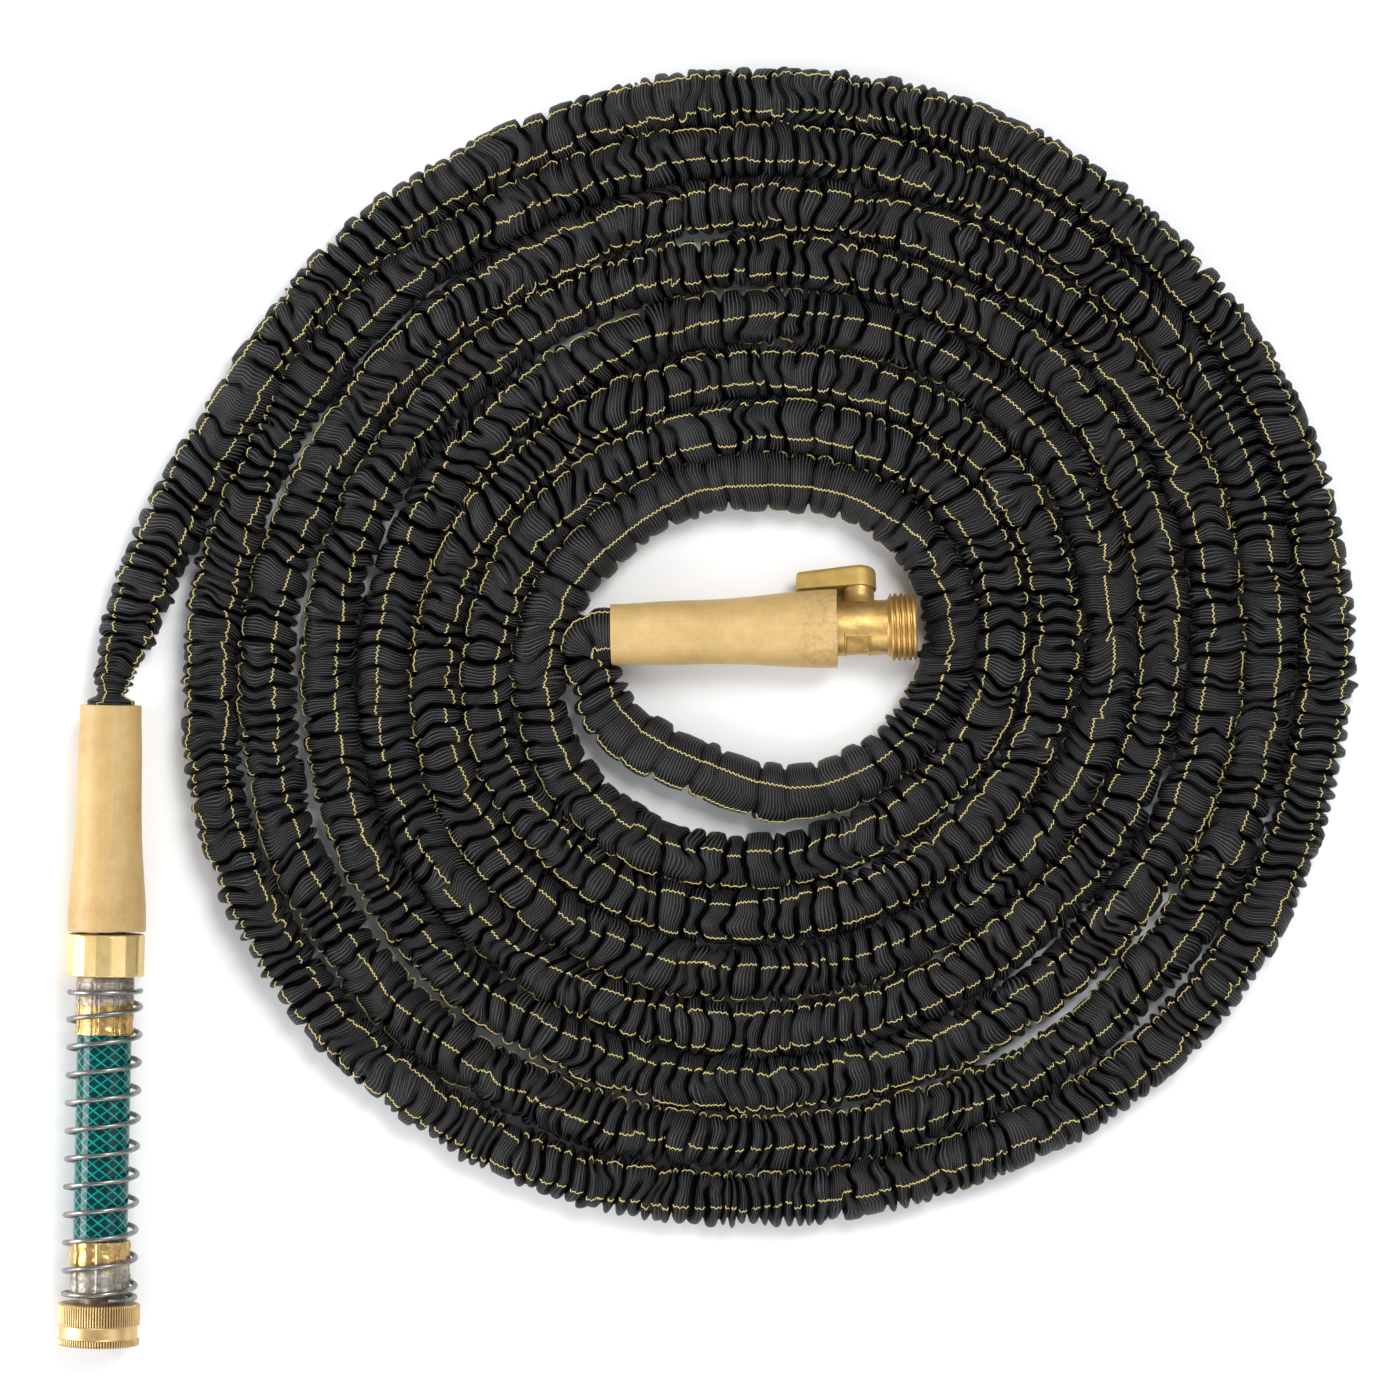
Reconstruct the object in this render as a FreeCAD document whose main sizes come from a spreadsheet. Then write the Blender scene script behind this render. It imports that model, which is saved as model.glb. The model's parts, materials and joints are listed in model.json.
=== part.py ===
import FreeCAD, Part
import math
import os
from types import SimpleNamespace

import Sketcher

# Expandable garden hose, lying on the floor as a flat oval coil.
# A lever ball valve on a rubber grip sleeve is at the inner end of the coil. The outer end runs into
# an identical sleeve, then a faceted swivel nut, a short reinforced leader hose inside a spring guard
# and a knurled swivel nut for the tap. Millimetres, +Z up from the floor, +X along the valve.

SIZES = {
    # Hose sheath and coil
    "hose_radius": 10.0,
    "coil_x": 112.0,
    "coil_y": 122.7,
    "coil_first_radius": 70.6,
    "coil_pitch": 21.9,
    "coil_drop": 7.4,
    "coil_oval": 7.5,
    "coil_oval_loss": 0.55,
    # Grip sleeves
    "sleeve_length": 91.0,
    "sleeve_wall": 1.8,
    "sleeve_mouth_radius": 12.3,
    "sleeve_waist_radius": 13.1,
    "sleeve_waist": 48.0,
    "sleeve_flare_radius": 15.2,
    "sleeve_flare": 78.0,
    "sleeve_end_radius": 15.7,
    # Hose ends inside the sleeves
    "tube_inner_radius": 4.6,
    "tube_outer_radius": 7.0,
    "tube_stretched_inner": 6.45,
    "tube_stretched_outer": 8.4,
    "cuff_inner_radius": 8.45,
    "cuff_outer_radius": 9.95,
    "cuff_clamped_radius": 10.35,
    "clamp_start": 52.0,
    "clamp_end": 77.0,
    "collar_inner_radius": 10.4,
    "collar_outer_radius": 11.4,
    "collar_start": 56.0,
    # Barbed tails
    "barb_start": 50.0,
    "barb_root_radius": 5.6,
    "barb_ridge_radius": 6.4,
    "barb_pitch": 6.0,
    "barb_bore_radius": 4.2,
    "barb_flange_radius": 10.6,
    "barb_flange_start": 78.0,
    "barb_flange_end": 80.0,
    # Ball valve
    "valve_roll": 20.0,
    "valve_axis_height": 15.7,
    "body_radius": 11.0,
    "body_end": 111.0,
    "socket_radius": 9.0,
    "socket_gap": 0.1,
    "cavity_radius": 8.0,
    "cavity_half_length": 7.75,
    "port_radius": 5.2,
    "outlet_bore_radius": 8.5,
    "hose_thread_radius": 13.5,
    "outlet_end": 122.2,
    "thread_chamfer": 0.6,
    "flat_apothem": 10.2,
    "flat_length": 9.2,
    "flat_behind_stem": 5.8,
    "stem_station": 99.6,
    "ball_radius": 7.6,
    "ball_bore_radius": 4.8,
    "seat_width": 2.0,
    "seat_gap": 0.2,
    # Stem and lever, heights above the pipe axis
    "boss_radius": 6.3,
    "boss_top": 16.9,
    "stem_radius": 3.1,
    "stem_bore_radius": 3.18,
    "stem_flange_radius": 4.4,
    "stem_flange_bottom": 7.9,
    "stem_flange_top": 9.2,
    "stem_pocket_radius": 4.6,
    "stem_pocket_top": 9.9,
    "stem_shoulder": 17.0,
    "stem_top": 21.0,
    "stem_square": 4.4,
    "tang_bottom": 5.3,
    "tang_width": 3.0,
    "tang_length": 8.0,
    "tang_play": 0.1,
    "ring_wire_radius": 0.5,
    "ring_groove_radius": 2.1,
    "ring_groove_width": 1.1,
    "ring_height_low": 11.6,
    "ring_height_high": 13.6,
    "lever_bottom": 15.9,
    "lever_recess_top": 17.3,
    "lever_recess_radius": 6.65,
    "lever_hub_radius": 7.2,
    "lever_hub_top": 24.9,
    "lever_tip_top": 23.65,
    "lever_reach": 24.8,
    "lever_tip_width": 8.0,
    "lever_counterbore": 22.4,
    "screw_head_radius": 3.2,
    "screw_head_height": 1.9,
    "screw_shank_radius": 1.5,
    "screw_depth": 15.2,
    # Inlet fittings, stations along the inlet axis from the sleeve mouth
    "inlet_axis_height": 16.4,
    "neck_radius": 8.0,
    "swivel_gap": 0.09,
    "swivel_flange_radius": 11.8,
    "nut_bore_radius": 13.6,
    "inlet_nut_radius": 15.65,
    "inlet_nut_start": 91.4,
    "inlet_nut_end": 108.4,
    "inlet_nut_facets": 16.0,
    "nut_lip": 2.4,
    "inlet_flange_end": 96.5,
    "washer_hole_radius": 6.0,
    "washer_thickness": 2.4,
    "male_end_start": 99.0,
    "male_end_radius": 13.4,
    "male_thread_end": 107.6,
    "shoulder_start": 108.8,
    "shoulder_radius": 11.4,
    "leader_bore_radius": 5.0,
    "leader_barb_radius": 6.5,
    "liner_outer_radius": 8.6,
    "cover_inner_radius": 8.65,
    "cover_outer_radius": 10.85,
    "ferrule_inner_radius": 10.9,
    "ferrule_lip": 1.0,
    "upper_ferrule_start": 110.5,
    "upper_ferrule_end": 131.7,
    "upper_ferrule_radius": 11.65,
    "lower_ferrule_start": 213.9,
    "lower_ferrule_end": 234.7,
    "lower_ferrule_radius": 12.1,
    "leader_barb_length": 20.0,
    "tap_nut_start": 238.7,
    "tap_nut_end": 255.7,
    "tap_nut_radius": 16.4,
    "tap_nut_groove_radius": 15.6,
    "tap_nut_groove_start": 247.5,
    "tap_nut_groove_end": 252.8,
    "tap_nut_lip": 4.1,
    "tap_nut_relief_radius": 14.2,
    "tap_flange_end": 245.2,
    "tap_thread_start": 247.7,
    "edge_chamfer": 0.5,
    "spring_radius": 14.2,
    "spring_wire_radius": 1.05,
    "spring_start": 113.9,
    "spring_end": 236.9,
}

# The inlet axis points this many degrees from +X, turned anticlockwise.
INLET_HEADING = -92.65
# The middle of each sleeve mouth, from the middle of the coil.
VALVE_MOUTH = (-58.9, 3.9)
INLET_MOUTH = (-259.1, -19.0)

# The coil's first and last angles, in degrees turned anticlockwise from +X, and where it is cut.
COIL_START = 190.0
COIL_END = 3029.0
TURN = 360.0
COIL_POINTS_PER_TURN = 24
OVAL_TILT = 18.0
DROP_HEADING = -86.5
# Places where a turn stands away from the even spiral: angle, extra radius, half width in degrees.
COIL_SLACK = [
    (240.0, -13.5, 35.0),
    (470.0, 3.4, 20.0),
    (1600.0, -1.8, 60.0),
    (2370.0, 4.5, 35.0),
    (2470.0, 4.0, 20.0),
    (2730.0, 6.9, 40.0),
    (2840.0, 5.0, 20.0),
    (2980.0, -2.2, 20.0),
]
# The hose from the end of the coil to the inlet sleeve, from the middle of the coil.
TAIL_ROUTE = [
    (-209.8, 93.0, 10.0),
    (-226.2, 66.5, 10.0),
    (-239.5, 40.5, 10.0),
    (-249.5, 17.0, 10.0),
    (-255.4, 0.5, 11.6),
]
TAIL_LAST_RUN = 9.5
# The spring guard's turns in all, and those that lie closed at its first and last ends.
SPRING_TURNS = 12.2
SPRING_CLOSED_FIRST = 0.5
SPRING_CLOSED_LAST = 0.95
SPRING_CLOSED_GAP = 1.06
SPRING_POINTS_PER_TURN = 16
# Where the two wrench flats are, in degrees round from the stem.
VALVE_FLATS = (150, 210)
# How far the coil's cut edges stop short of a full turn, in degrees: twice outside, once inside.
OUTER_EDGE_GAP = 9.0
INNER_EDGE_GAP = 23.0
# How much of the shorter of its two runs each arc of the tail's route may take.
ARC_SHARE = 0.45
LEAST_TUBE_MATCH = 0.995
# How far the coil's outer edge stays inside the hose's full width.
EDGE_SOFTNESS = 0.8


class Size:
    """A length that knows both its value and the sheet expression that drives it."""

    def __init__(self, value, text):
        self.value = value
        self.text = text

    def __add__(self, other):
        return Size(self.value + number(other), f"({self.text} + {words(other)})")

    def __sub__(self, other):
        return Size(self.value - number(other), f"({self.text} - {words(other)})")

    def __mul__(self, other):
        return Size(self.value * number(other), f"({self.text} * {words(other)})")

    def __truediv__(self, other):
        return Size(self.value / number(other), f"({self.text} / {words(other)})")

    def __neg__(self):
        return Size(-self.value, f"(0 - {self.text})")


def number(size):
    return size.value if isinstance(size, Size) else float(size)


def words(size):
    return size.text if isinstance(size, Size) else repr(float(size))


document = FreeCAD.newDocument("ExpandableHose")
sheet = document.addObject("Spreadsheet::Sheet", "Sizes")
for row, (alias, length) in enumerate(SIZES.items(), start=1):
    sheet.set(f"A{row}", alias)
    sheet.set(f"B{row}", str(length))
    sheet.setAlias(f"B{row}", alias)
document.recompute()
size = SimpleNamespace(**{alias: Size(length, f"Sizes.{alias}") for alias, length in SIZES.items()})

X_AXIS = FreeCAD.Vector(1, 0, 0)
Y_AXIS = FreeCAD.Vector(0, 1, 0)
Z_AXIS = FreeCAD.Vector(0, 0, 1)
NO_TURN = FreeCAD.Rotation()

pieces = []


def bind(feature, **sizes):
    """Sets each named property and ties it to the sheet."""
    for name, length in sizes.items():
        setattr(feature, name, number(length))
        if isinstance(length, Size):
            feature.setExpression(name, length.text)


def keep(feature, label, placement):
    """Names a finished sub-part and stands it in the frame of the whole object."""
    feature.Label = label
    feature.Placement = placement
    pieces.append(feature)
    return feature


def sketch_on(body, role, name):
    """A sketch on one of the body's own origin planes."""
    plane = next(item for item in body.Origin.OriginFeatures if item.Role == role)
    sketch = body.newObject("Sketcher::SketchObject", name)
    sketch.AttachmentSupport = [(plane, "")]
    sketch.MapMode = "FlatFace"
    return sketch


def pin_vertex(sketch, edge, across, along):
    """Holds an edge's first vertex at its distances from the sketch's axes."""
    for kind, length, axis in (("DistanceX", across, -2), ("DistanceY", along, -1)):
        if number(length) == 0:
            sketch.addConstraint(Sketcher.Constraint("PointOnObject", edge, 1, axis))
            continue
        held = sketch.addConstraint(Sketcher.Constraint(kind, -1, 1, edge, 1, number(length)))
        if isinstance(length, Size):
            sketch.setExpression(f"Constraints[{held}]", length.text)


def outline(sketch, corners):
    """A closed outline of straight edges through corners given as (radius, station)."""
    points = [FreeCAD.Vector(number(across), number(along), 0) for across, along in corners]
    count = len(points)
    for edge in range(count):
        sketch.addGeometry(Part.LineSegment(points[edge], points[(edge + 1) % count]), False)
    for edge in range(count):
        sketch.addConstraint(Sketcher.Constraint("Coincident", edge, 2, (edge + 1) % count, 1))
    for edge, (across, along) in enumerate(corners):
        pin_vertex(sketch, edge, across, along)


def turned(name, corners):
    """A body turned about its own Z axis from an outline of (radius, station) corners."""
    body = document.addObject("PartDesign::Body", name)
    sketch = sketch_on(body, "XZ_Plane", f"{name}_outline")
    outline(sketch, corners)
    revolution = body.newObject("PartDesign::Revolution", f"{name}_revolution")
    revolution.Profile = sketch
    revolution.ReferenceAxis = (sketch, ["V_Axis"])
    revolution.Angle = 360.0
    sketch.Visibility = False
    body.Tip = revolution
    return body


def cylinder(name, radius, height, base=FreeCAD.Vector(), direction=Z_AXIS):
    feature = document.addObject("Part::Cylinder", name)
    bind(feature, Radius=radius, Height=height)
    feature.Placement = FreeCAD.Placement(base, FreeCAD.Rotation(Z_AXIS, direction))
    return feature


def block(name, length, width, height, centre, turn=NO_TURN):
    """A box centred across its length and width, standing on the given point."""
    feature = document.addObject("Part::Box", name)
    bind(feature, Length=length, Width=width, Height=height)
    corner = FreeCAD.Vector(-number(length) / 2, -number(width) / 2, 0)
    feature.Placement = FreeCAD.Placement(centre + turn.multVec(corner), turn)
    return feature


def cut(name, base, *tools):
    """The base with every tool taken away."""
    tool = tools[0]
    if len(tools) > 1:
        tool = document.addObject("Part::MultiFuse", f"{name}_tools")
        tool.Shapes = list(tools)
    feature = document.addObject("Part::Cut", name)
    feature.Base = base
    feature.Tool = tool
    return feature


def fuse(name, *shapes):
    feature = document.addObject("Part::MultiFuse", name)
    feature.Shapes = list(shapes)
    return feature


def ring(name, inner, outer, start, end):
    """A plain washer or bush between two stations."""
    return turned(name, [(inner, start), (outer, start), (outer, end), (inner, end)])


coil_middle = FreeCAD.Vector(number(size.coil_x), number(size.coil_y), 0)


def frame_at(mouth, height, direction, roll=0.0):
    """The placement of an assembly whose own Z axis runs along the fitting from its sleeve mouth."""
    base = coil_middle + FreeCAD.Vector(mouth[0], mouth[1], number(height))
    aim = FreeCAD.Rotation(Z_AXIS, direction)
    return FreeCAD.Placement(base, FreeCAD.Rotation(direction, -roll).multiply(aim))


outlet_frame = frame_at(VALVE_MOUTH, size.valve_axis_height, X_AXIS, number(size.valve_roll))
inlet_direction = FreeCAD.Rotation(Z_AXIS, INLET_HEADING).multVec(X_AXIS)
inlet_frame = frame_at(INLET_MOUTH, size.inlet_axis_height, inlet_direction)
# The stem's own Z axis stands on the pipe axis, square to it, and its X axis runs towards the outlet.
stem_placement = FreeCAD.Placement(
    FreeCAD.Vector(0, 0, number(size.stem_station)), FreeCAD.Rotation(FreeCAD.Vector(1, 1, 1), -120)
)
stem_frame = outlet_frame.multiply(stem_placement)


def grip_sleeve(name, frame):
    """A rubber grip that flares over the fitting."""
    wall = size.sleeve_wall
    outside = [
        (size.sleeve_mouth_radius, 0),
        (size.sleeve_waist_radius, size.sleeve_waist),
        (size.sleeve_flare_radius, size.sleeve_flare),
        (size.sleeve_end_radius, size.sleeve_length),
    ]
    inside = [(radius - wall, station) for radius, station in reversed(outside)]
    keep(turned(name, outside + inside), name, frame)


def barb_ridges(start, root, ridge, count):
    """Saw-tooth ridges that let a hose be pushed on but not pulled off."""
    corners = []
    for index in range(count):
        foot = start + size.barb_pitch * index
        crest = start + size.barb_pitch * (index + 0.8)
        corners += [(root, foot), (ridge, crest), (root, crest)]
    return corners


def hose_end(side, frame):
    """The latex tube and the woven sheath where they are pushed over a barb and clamped."""
    tube = turned(
        f"{side}_tube_end",
        [
            (size.tube_inner_radius, 0),
            (size.tube_outer_radius, 0),
            (size.tube_outer_radius, size.barb_start - 4),
            (size.tube_stretched_outer, size.clamp_start),
            (size.tube_stretched_outer, size.clamp_end),
            (size.tube_stretched_inner, size.clamp_end),
            (size.tube_stretched_inner, size.barb_start - 1),
            (size.tube_inner_radius, size.barb_start - 6),
        ],
    )
    keep(tube, f"{side}_tube_end", frame)
    cuff = turned(
        f"{side}_sheath_cuff",
        [
            (size.cuff_inner_radius, 0),
            (size.cuff_outer_radius, 0),
            (size.cuff_outer_radius, size.clamp_start),
            (size.cuff_clamped_radius, size.clamp_start + 1),
            (size.cuff_clamped_radius, size.clamp_end),
            (size.cuff_inner_radius, size.clamp_end),
        ],
    )
    keep(cuff, f"{side}_sheath_cuff", frame)
    collar = ring(
        f"{side}_collar",
        size.collar_inner_radius,
        size.collar_outer_radius,
        size.collar_start,
        size.clamp_end,
    )
    keep(collar, f"{side}_collar", frame)


def barbed_tail(name, nose):
    """A barbed tail with a clamping flange, and the nose that joins it to its fitting."""
    shaft = barb_ridges(size.barb_start, size.barb_root_radius, size.barb_ridge_radius, 4)
    flange = [
        (size.barb_root_radius, size.barb_flange_start),
        (size.barb_flange_radius, size.barb_flange_start),
        (size.barb_flange_radius, size.barb_flange_end),
    ]
    last = nose[-1][1]
    bore = [(size.barb_bore_radius, last), (size.barb_bore_radius, size.barb_start)]
    return turned(name, shaft + flange + nose + bore)


def valve_body():
    """The cast body: socket, ball cavity, outlet bore and hose thread, with the stem's boss on top."""
    back = size.stem_station - size.cavity_half_length
    front = size.stem_station + size.cavity_half_length
    barrel = turned(
        "valve_barrel",
        [
            (size.socket_radius, size.barb_flange_end),
            (size.body_radius, size.barb_flange_end),
            (size.body_radius, size.body_end - size.thread_chamfer),
            (size.hose_thread_radius, size.body_end),
            (size.hose_thread_radius, size.outlet_end - size.thread_chamfer),
            (size.hose_thread_radius - size.thread_chamfer, size.outlet_end),
            (size.outlet_bore_radius, size.outlet_end),
            (size.outlet_bore_radius, size.body_end + 3),
            (size.port_radius, size.body_end + 1),
            (size.port_radius, front),
            (size.cavity_radius, front),
            (size.cavity_radius, back),
            (size.socket_radius, back),
        ],
    )
    station = FreeCAD.Vector(0, 0, number(size.stem_station))
    boss = cylinder("valve_boss", size.boss_radius, size.boss_top, station, Y_AXIS)
    cavity = cylinder(
        "valve_boss_cavity", size.cavity_radius, size.cavity_half_length * 2, Z_AXIS * number(back)
    )
    solid_boss = cut("valve_boss_trimmed", boss, cavity)
    stem_bore = cylinder("valve_stem_bore", size.stem_bore_radius, size.boss_top + 2, station, Y_AXIS)
    pocket = cylinder("valve_stem_pocket", size.stem_pocket_radius, size.stem_pocket_top, station, Y_AXIS)
    flats = [wrench_flat(f"valve_flat_{degrees}", degrees) for degrees in VALVE_FLATS]
    casting = fuse("valve_casting", barrel, solid_boss)
    keep(cut("valve_body", casting, stem_bore, pocket, *flats), "valve_body", outlet_frame)


def wrench_flat(name, degrees):
    """A box that shaves one flat off the barrel, this many degrees round from the stem."""
    turn = FreeCAD.Rotation(Z_AXIS, 90 + degrees)
    lift = turn.multVec(FreeCAD.Vector(number(size.flat_apothem), 0, 0))
    station = number(size.stem_station - size.flat_behind_stem)
    feature = document.addObject("Part::Box", name)
    bind(feature, Length=size.body_radius, Width=size.body_radius * 2, Height=size.flat_length)
    aside = turn.multVec(FreeCAD.Vector(0, -number(size.body_radius), 0))
    feature.Placement = FreeCAD.Placement(lift + aside + FreeCAD.Vector(0, 0, station), turn)
    return feature


def ball_and_seats():
    """The bored ball with its driving slot, between two plastic seats."""
    back = size.stem_station - size.cavity_half_length
    front = size.stem_station + size.cavity_half_length
    centre = FreeCAD.Vector(0, 0, number(size.stem_station))
    sphere = document.addObject("Part::Sphere", "ball_sphere")
    bind(sphere, Radius=size.ball_radius)
    sphere.Placement = FreeCAD.Placement(centre, NO_TURN)
    back_of_ball = centre - Z_AXIS * number(size.ball_radius)
    bore = cylinder("ball_bore", size.ball_bore_radius, size.ball_radius * 2, back_of_ball)
    upright = FreeCAD.Rotation(X_AXIS, -90)
    slot_floor = centre + Y_AXIS * number(size.tang_bottom - size.tang_play)
    slot_width = size.tang_width + size.tang_play * 2
    slot = block("ball_slot", size.ball_radius * 2, slot_width, size.ball_radius, slot_floor, upright)
    keep(cut("valve_ball", sphere, bore, slot), "valve_ball", outlet_frame)
    seat_outer = size.cavity_radius - size.seat_gap
    keep(
        ring("valve_seat_rear", size.port_radius, seat_outer, back, back + size.seat_width),
        "valve_seat_rear",
        outlet_frame,
    )
    keep(
        ring("valve_seat_front", size.port_radius, seat_outer, front - size.seat_width, front),
        "valve_seat_front",
        outlet_frame,
    )


def valve_stem():
    """The blow-out proof stem, with its tang, flange, two seal grooves and square."""
    half_groove = size.ring_groove_width / 2
    corners = [(0, size.stem_flange_bottom), (size.stem_flange_radius, size.stem_flange_bottom)]
    corners += [(size.stem_flange_radius, size.stem_flange_top), (size.stem_radius, size.stem_flange_top)]
    for height in (size.ring_height_low, size.ring_height_high):
        corners += [
            (size.stem_radius, height - half_groove),
            (size.ring_groove_radius, height - half_groove),
            (size.ring_groove_radius, height + half_groove),
            (size.stem_radius, height + half_groove),
        ]
    corners += [(size.stem_radius, size.stem_shoulder), (0, size.stem_shoulder)]
    shaft = turned("stem_shaft", corners)
    tang_height = size.stem_flange_bottom - size.tang_bottom
    tang_base = FreeCAD.Vector(0, 0, number(size.tang_bottom))
    tang = block("stem_tang", size.tang_width, size.tang_length, tang_height, tang_base)
    square_base = FreeCAD.Vector(0, 0, number(size.stem_shoulder))
    square_height = size.stem_top - size.stem_shoulder
    square = block("stem_square", size.stem_square, size.stem_square, square_height, square_base)
    thread_base = FreeCAD.Vector(0, 0, number(size.screw_depth) - 0.3)
    thread = cylinder("stem_screw_hole", size.screw_shank_radius + 0.05, size.stem_top, thread_base)
    whole = fuse("stem_blank", shaft, tang, square)
    keep(cut("valve_stem", whole, thread), "valve_stem", stem_frame)


def stem_seals():
    """Two O-rings on the stem and the slippery washer over its flange."""
    rings = []
    for name, height in (("low", size.ring_height_low), ("high", size.ring_height_high)):
        torus = document.addObject("Part::Torus", f"stem_ring_{name}")
        bind(torus, Radius1=size.ring_groove_radius + size.ring_wire_radius, Radius2=size.ring_wire_radius)
        torus.Placement = FreeCAD.Placement(FreeCAD.Vector(0, 0, number(height)), NO_TURN)
        rings.append(torus)
    keep(fuse("stem_o_rings", *rings), "stem_o_rings", stem_frame)
    washer = ring(
        "stem_thrust_washer",
        size.stem_bore_radius + 0.07,
        size.stem_flange_radius,
        size.stem_flange_top + 0.05,
        size.stem_pocket_top - 0.05,
    )
    keep(washer, "stem_thrust_washer", stem_frame)


def lever_plan():
    """The lever from above: a round hub with an arm that tapers towards its tip."""
    body = document.addObject("PartDesign::Body", "lever_plan")
    sketch = sketch_on(body, "XY_Plane", "lever_plan_outline")
    hub = number(size.lever_hub_radius)
    reach = number(size.lever_reach)
    half_tip = number(size.lever_tip_width) / 2
    lean = math.asin((hub - half_tip) / math.hypot(reach, half_tip))
    touch = math.radians(90) + lean
    top = FreeCAD.Vector(hub * math.cos(touch), hub * math.sin(touch), 0)
    bottom = FreeCAD.Vector(top.x, -top.y, 0)
    tip_top = FreeCAD.Vector(-reach, half_tip, 0)
    tip_bottom = FreeCAD.Vector(-reach, -half_tip, 0)
    circle = Part.Circle(FreeCAD.Vector(), Z_AXIS, hub)
    arc = Part.ArcOfCircle(circle, -touch, touch)
    sketch.addGeometry(arc, False)
    sketch.addGeometry(Part.LineSegment(top, tip_top), False)
    sketch.addGeometry(Part.LineSegment(tip_top, tip_bottom), False)
    sketch.addGeometry(Part.LineSegment(tip_bottom, bottom), False)
    sketch.addConstraint(Sketcher.Constraint("Coincident", 0, 3, -1, 1))
    sketch.addConstraint(Sketcher.Constraint("Tangent", 0, 2, 1, 1))
    sketch.addConstraint(Sketcher.Constraint("Coincident", 1, 2, 2, 1))
    sketch.addConstraint(Sketcher.Constraint("Coincident", 2, 2, 3, 1))
    sketch.addConstraint(Sketcher.Constraint("Tangent", 3, 2, 0, 1))
    radius = sketch.addConstraint(Sketcher.Constraint("Radius", 0, hub))
    sketch.setExpression(f"Constraints[{radius}]", size.lever_hub_radius.text)
    pin_vertex(sketch, 2, -size.lever_reach, size.lever_tip_width / 2)
    pin_vertex(sketch, 3, -size.lever_reach, -size.lever_tip_width / 2)
    pad = body.newObject("PartDesign::Pad", "lever_plan_pad")
    pad.Profile = sketch
    bind(pad, Length=size.lever_hub_top - size.lever_bottom)
    sketch.Visibility = False
    body.Tip = pad
    body.Placement = FreeCAD.Placement(FreeCAD.Vector(0, 0, number(size.lever_bottom)), NO_TURN)
    return body


def lever():
    """The cast lever and the screw that holds it on the stem."""
    plan = lever_plan()
    drop = number(size.lever_hub_top - size.lever_tip_top)
    reach = number(size.lever_reach)
    slope = FreeCAD.Rotation(Y_AXIS, -math.degrees(math.atan2(drop, reach)))
    ridge = FreeCAD.Vector(0, 0, number(size.lever_hub_top))
    shaving = block("lever_slope", size.lever_reach * 3, size.lever_reach, size.lever_hub_top, ridge, slope)
    low = Z_AXIS * number(size.lever_bottom)
    recess_depth = size.lever_recess_top - size.lever_bottom
    recess = cylinder("lever_recess", size.lever_recess_radius, recess_depth, low)
    hole_width = size.stem_square + size.tang_play
    hole = block("lever_square", hole_width, hole_width, size.lever_hub_top, low)
    head = FreeCAD.Vector(0, 0, number(size.lever_counterbore))
    counterbore = cylinder("lever_counterbore", size.screw_head_radius + 0.3, size.lever_hub_top, head)
    keep(cut("lever_handle", plan, shaving, recess, hole, counterbore), "lever_handle", stem_frame)
    screw = turned(
        "lever_screw",
        [
            (0, size.screw_depth),
            (size.screw_shank_radius, size.screw_depth),
            (size.screw_shank_radius, size.lever_counterbore),
            (size.screw_head_radius, size.lever_counterbore),
            (size.screw_head_radius, size.lever_counterbore + size.screw_head_height),
            (0, size.lever_counterbore + size.screw_head_height),
        ],
    )
    keep(screw, "lever_screw", stem_frame)


def outlet():
    """Everything at the valve end of the hose."""
    grip_sleeve("outlet_sleeve", outlet_frame)
    hose_end("outlet", outlet_frame)
    nose = [
        (size.socket_radius - size.socket_gap, size.barb_flange_end),
        (size.socket_radius - size.socket_gap, size.stem_station - size.cavity_half_length),
    ]
    keep(barbed_tail("outlet_barb", nose), "outlet_barb", outlet_frame)
    valve_body()
    ball_and_seats()
    valve_stem()
    stem_seals()
    lever()


def inlet_nut():
    """The swivel nut with flat facets all round, which spins on the tailpiece's neck."""
    edge = size.edge_chamfer
    outer = size.inlet_nut_radius
    lip_end = size.inlet_nut_start + size.nut_lip
    blank = turned(
        "inlet_nut_blank",
        [
            (size.neck_radius + size.swivel_gap, size.inlet_nut_start),
            (outer - edge, size.inlet_nut_start),
            (outer, size.inlet_nut_start + edge),
            (outer, size.inlet_nut_end - edge),
            (outer - edge, size.inlet_nut_end),
            (size.nut_bore_radius, size.inlet_nut_end),
            (size.nut_bore_radius, lip_end),
            (size.neck_radius + size.swivel_gap, lip_end),
        ],
    )
    prism = document.addObject("Part::Prism", "inlet_nut_facets")
    prism.Polygon = int(SIZES["inlet_nut_facets"])
    bind(prism, Circumradius=outer, Height=size.inlet_nut_end)
    nut = document.addObject("Part::Common", "inlet_nut")
    nut.Base = blank
    nut.Tool = prism
    keep(nut, "inlet_nut", inlet_frame)


def tap_nut():
    """The knurled swivel nut for the tap: two bands with a plain groove between them."""
    edge = size.edge_chamfer
    outer = size.tap_nut_radius
    groove = size.tap_nut_groove_radius
    neck = size.neck_radius + size.swivel_gap
    lip_end = size.tap_nut_start + size.tap_nut_lip
    nut = turned(
        "tap_nut",
        [
            (neck, size.tap_nut_start),
            (outer - edge, size.tap_nut_start),
            (outer, size.tap_nut_start + edge),
            (outer, size.tap_nut_groove_start),
            (groove, size.tap_nut_groove_start + edge),
            (groove, size.tap_nut_groove_end - edge),
            (outer, size.tap_nut_groove_end),
            (outer, size.tap_nut_end - edge),
            (outer - edge, size.tap_nut_end),
            (size.nut_bore_radius, size.tap_nut_end),
            (size.nut_bore_radius, size.tap_thread_start),
            (size.tap_nut_relief_radius, size.tap_thread_start),
            (size.tap_nut_relief_radius, lip_end),
            (neck, lip_end),
        ],
    )
    keep(nut, "tap_nut", inlet_frame)


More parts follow.
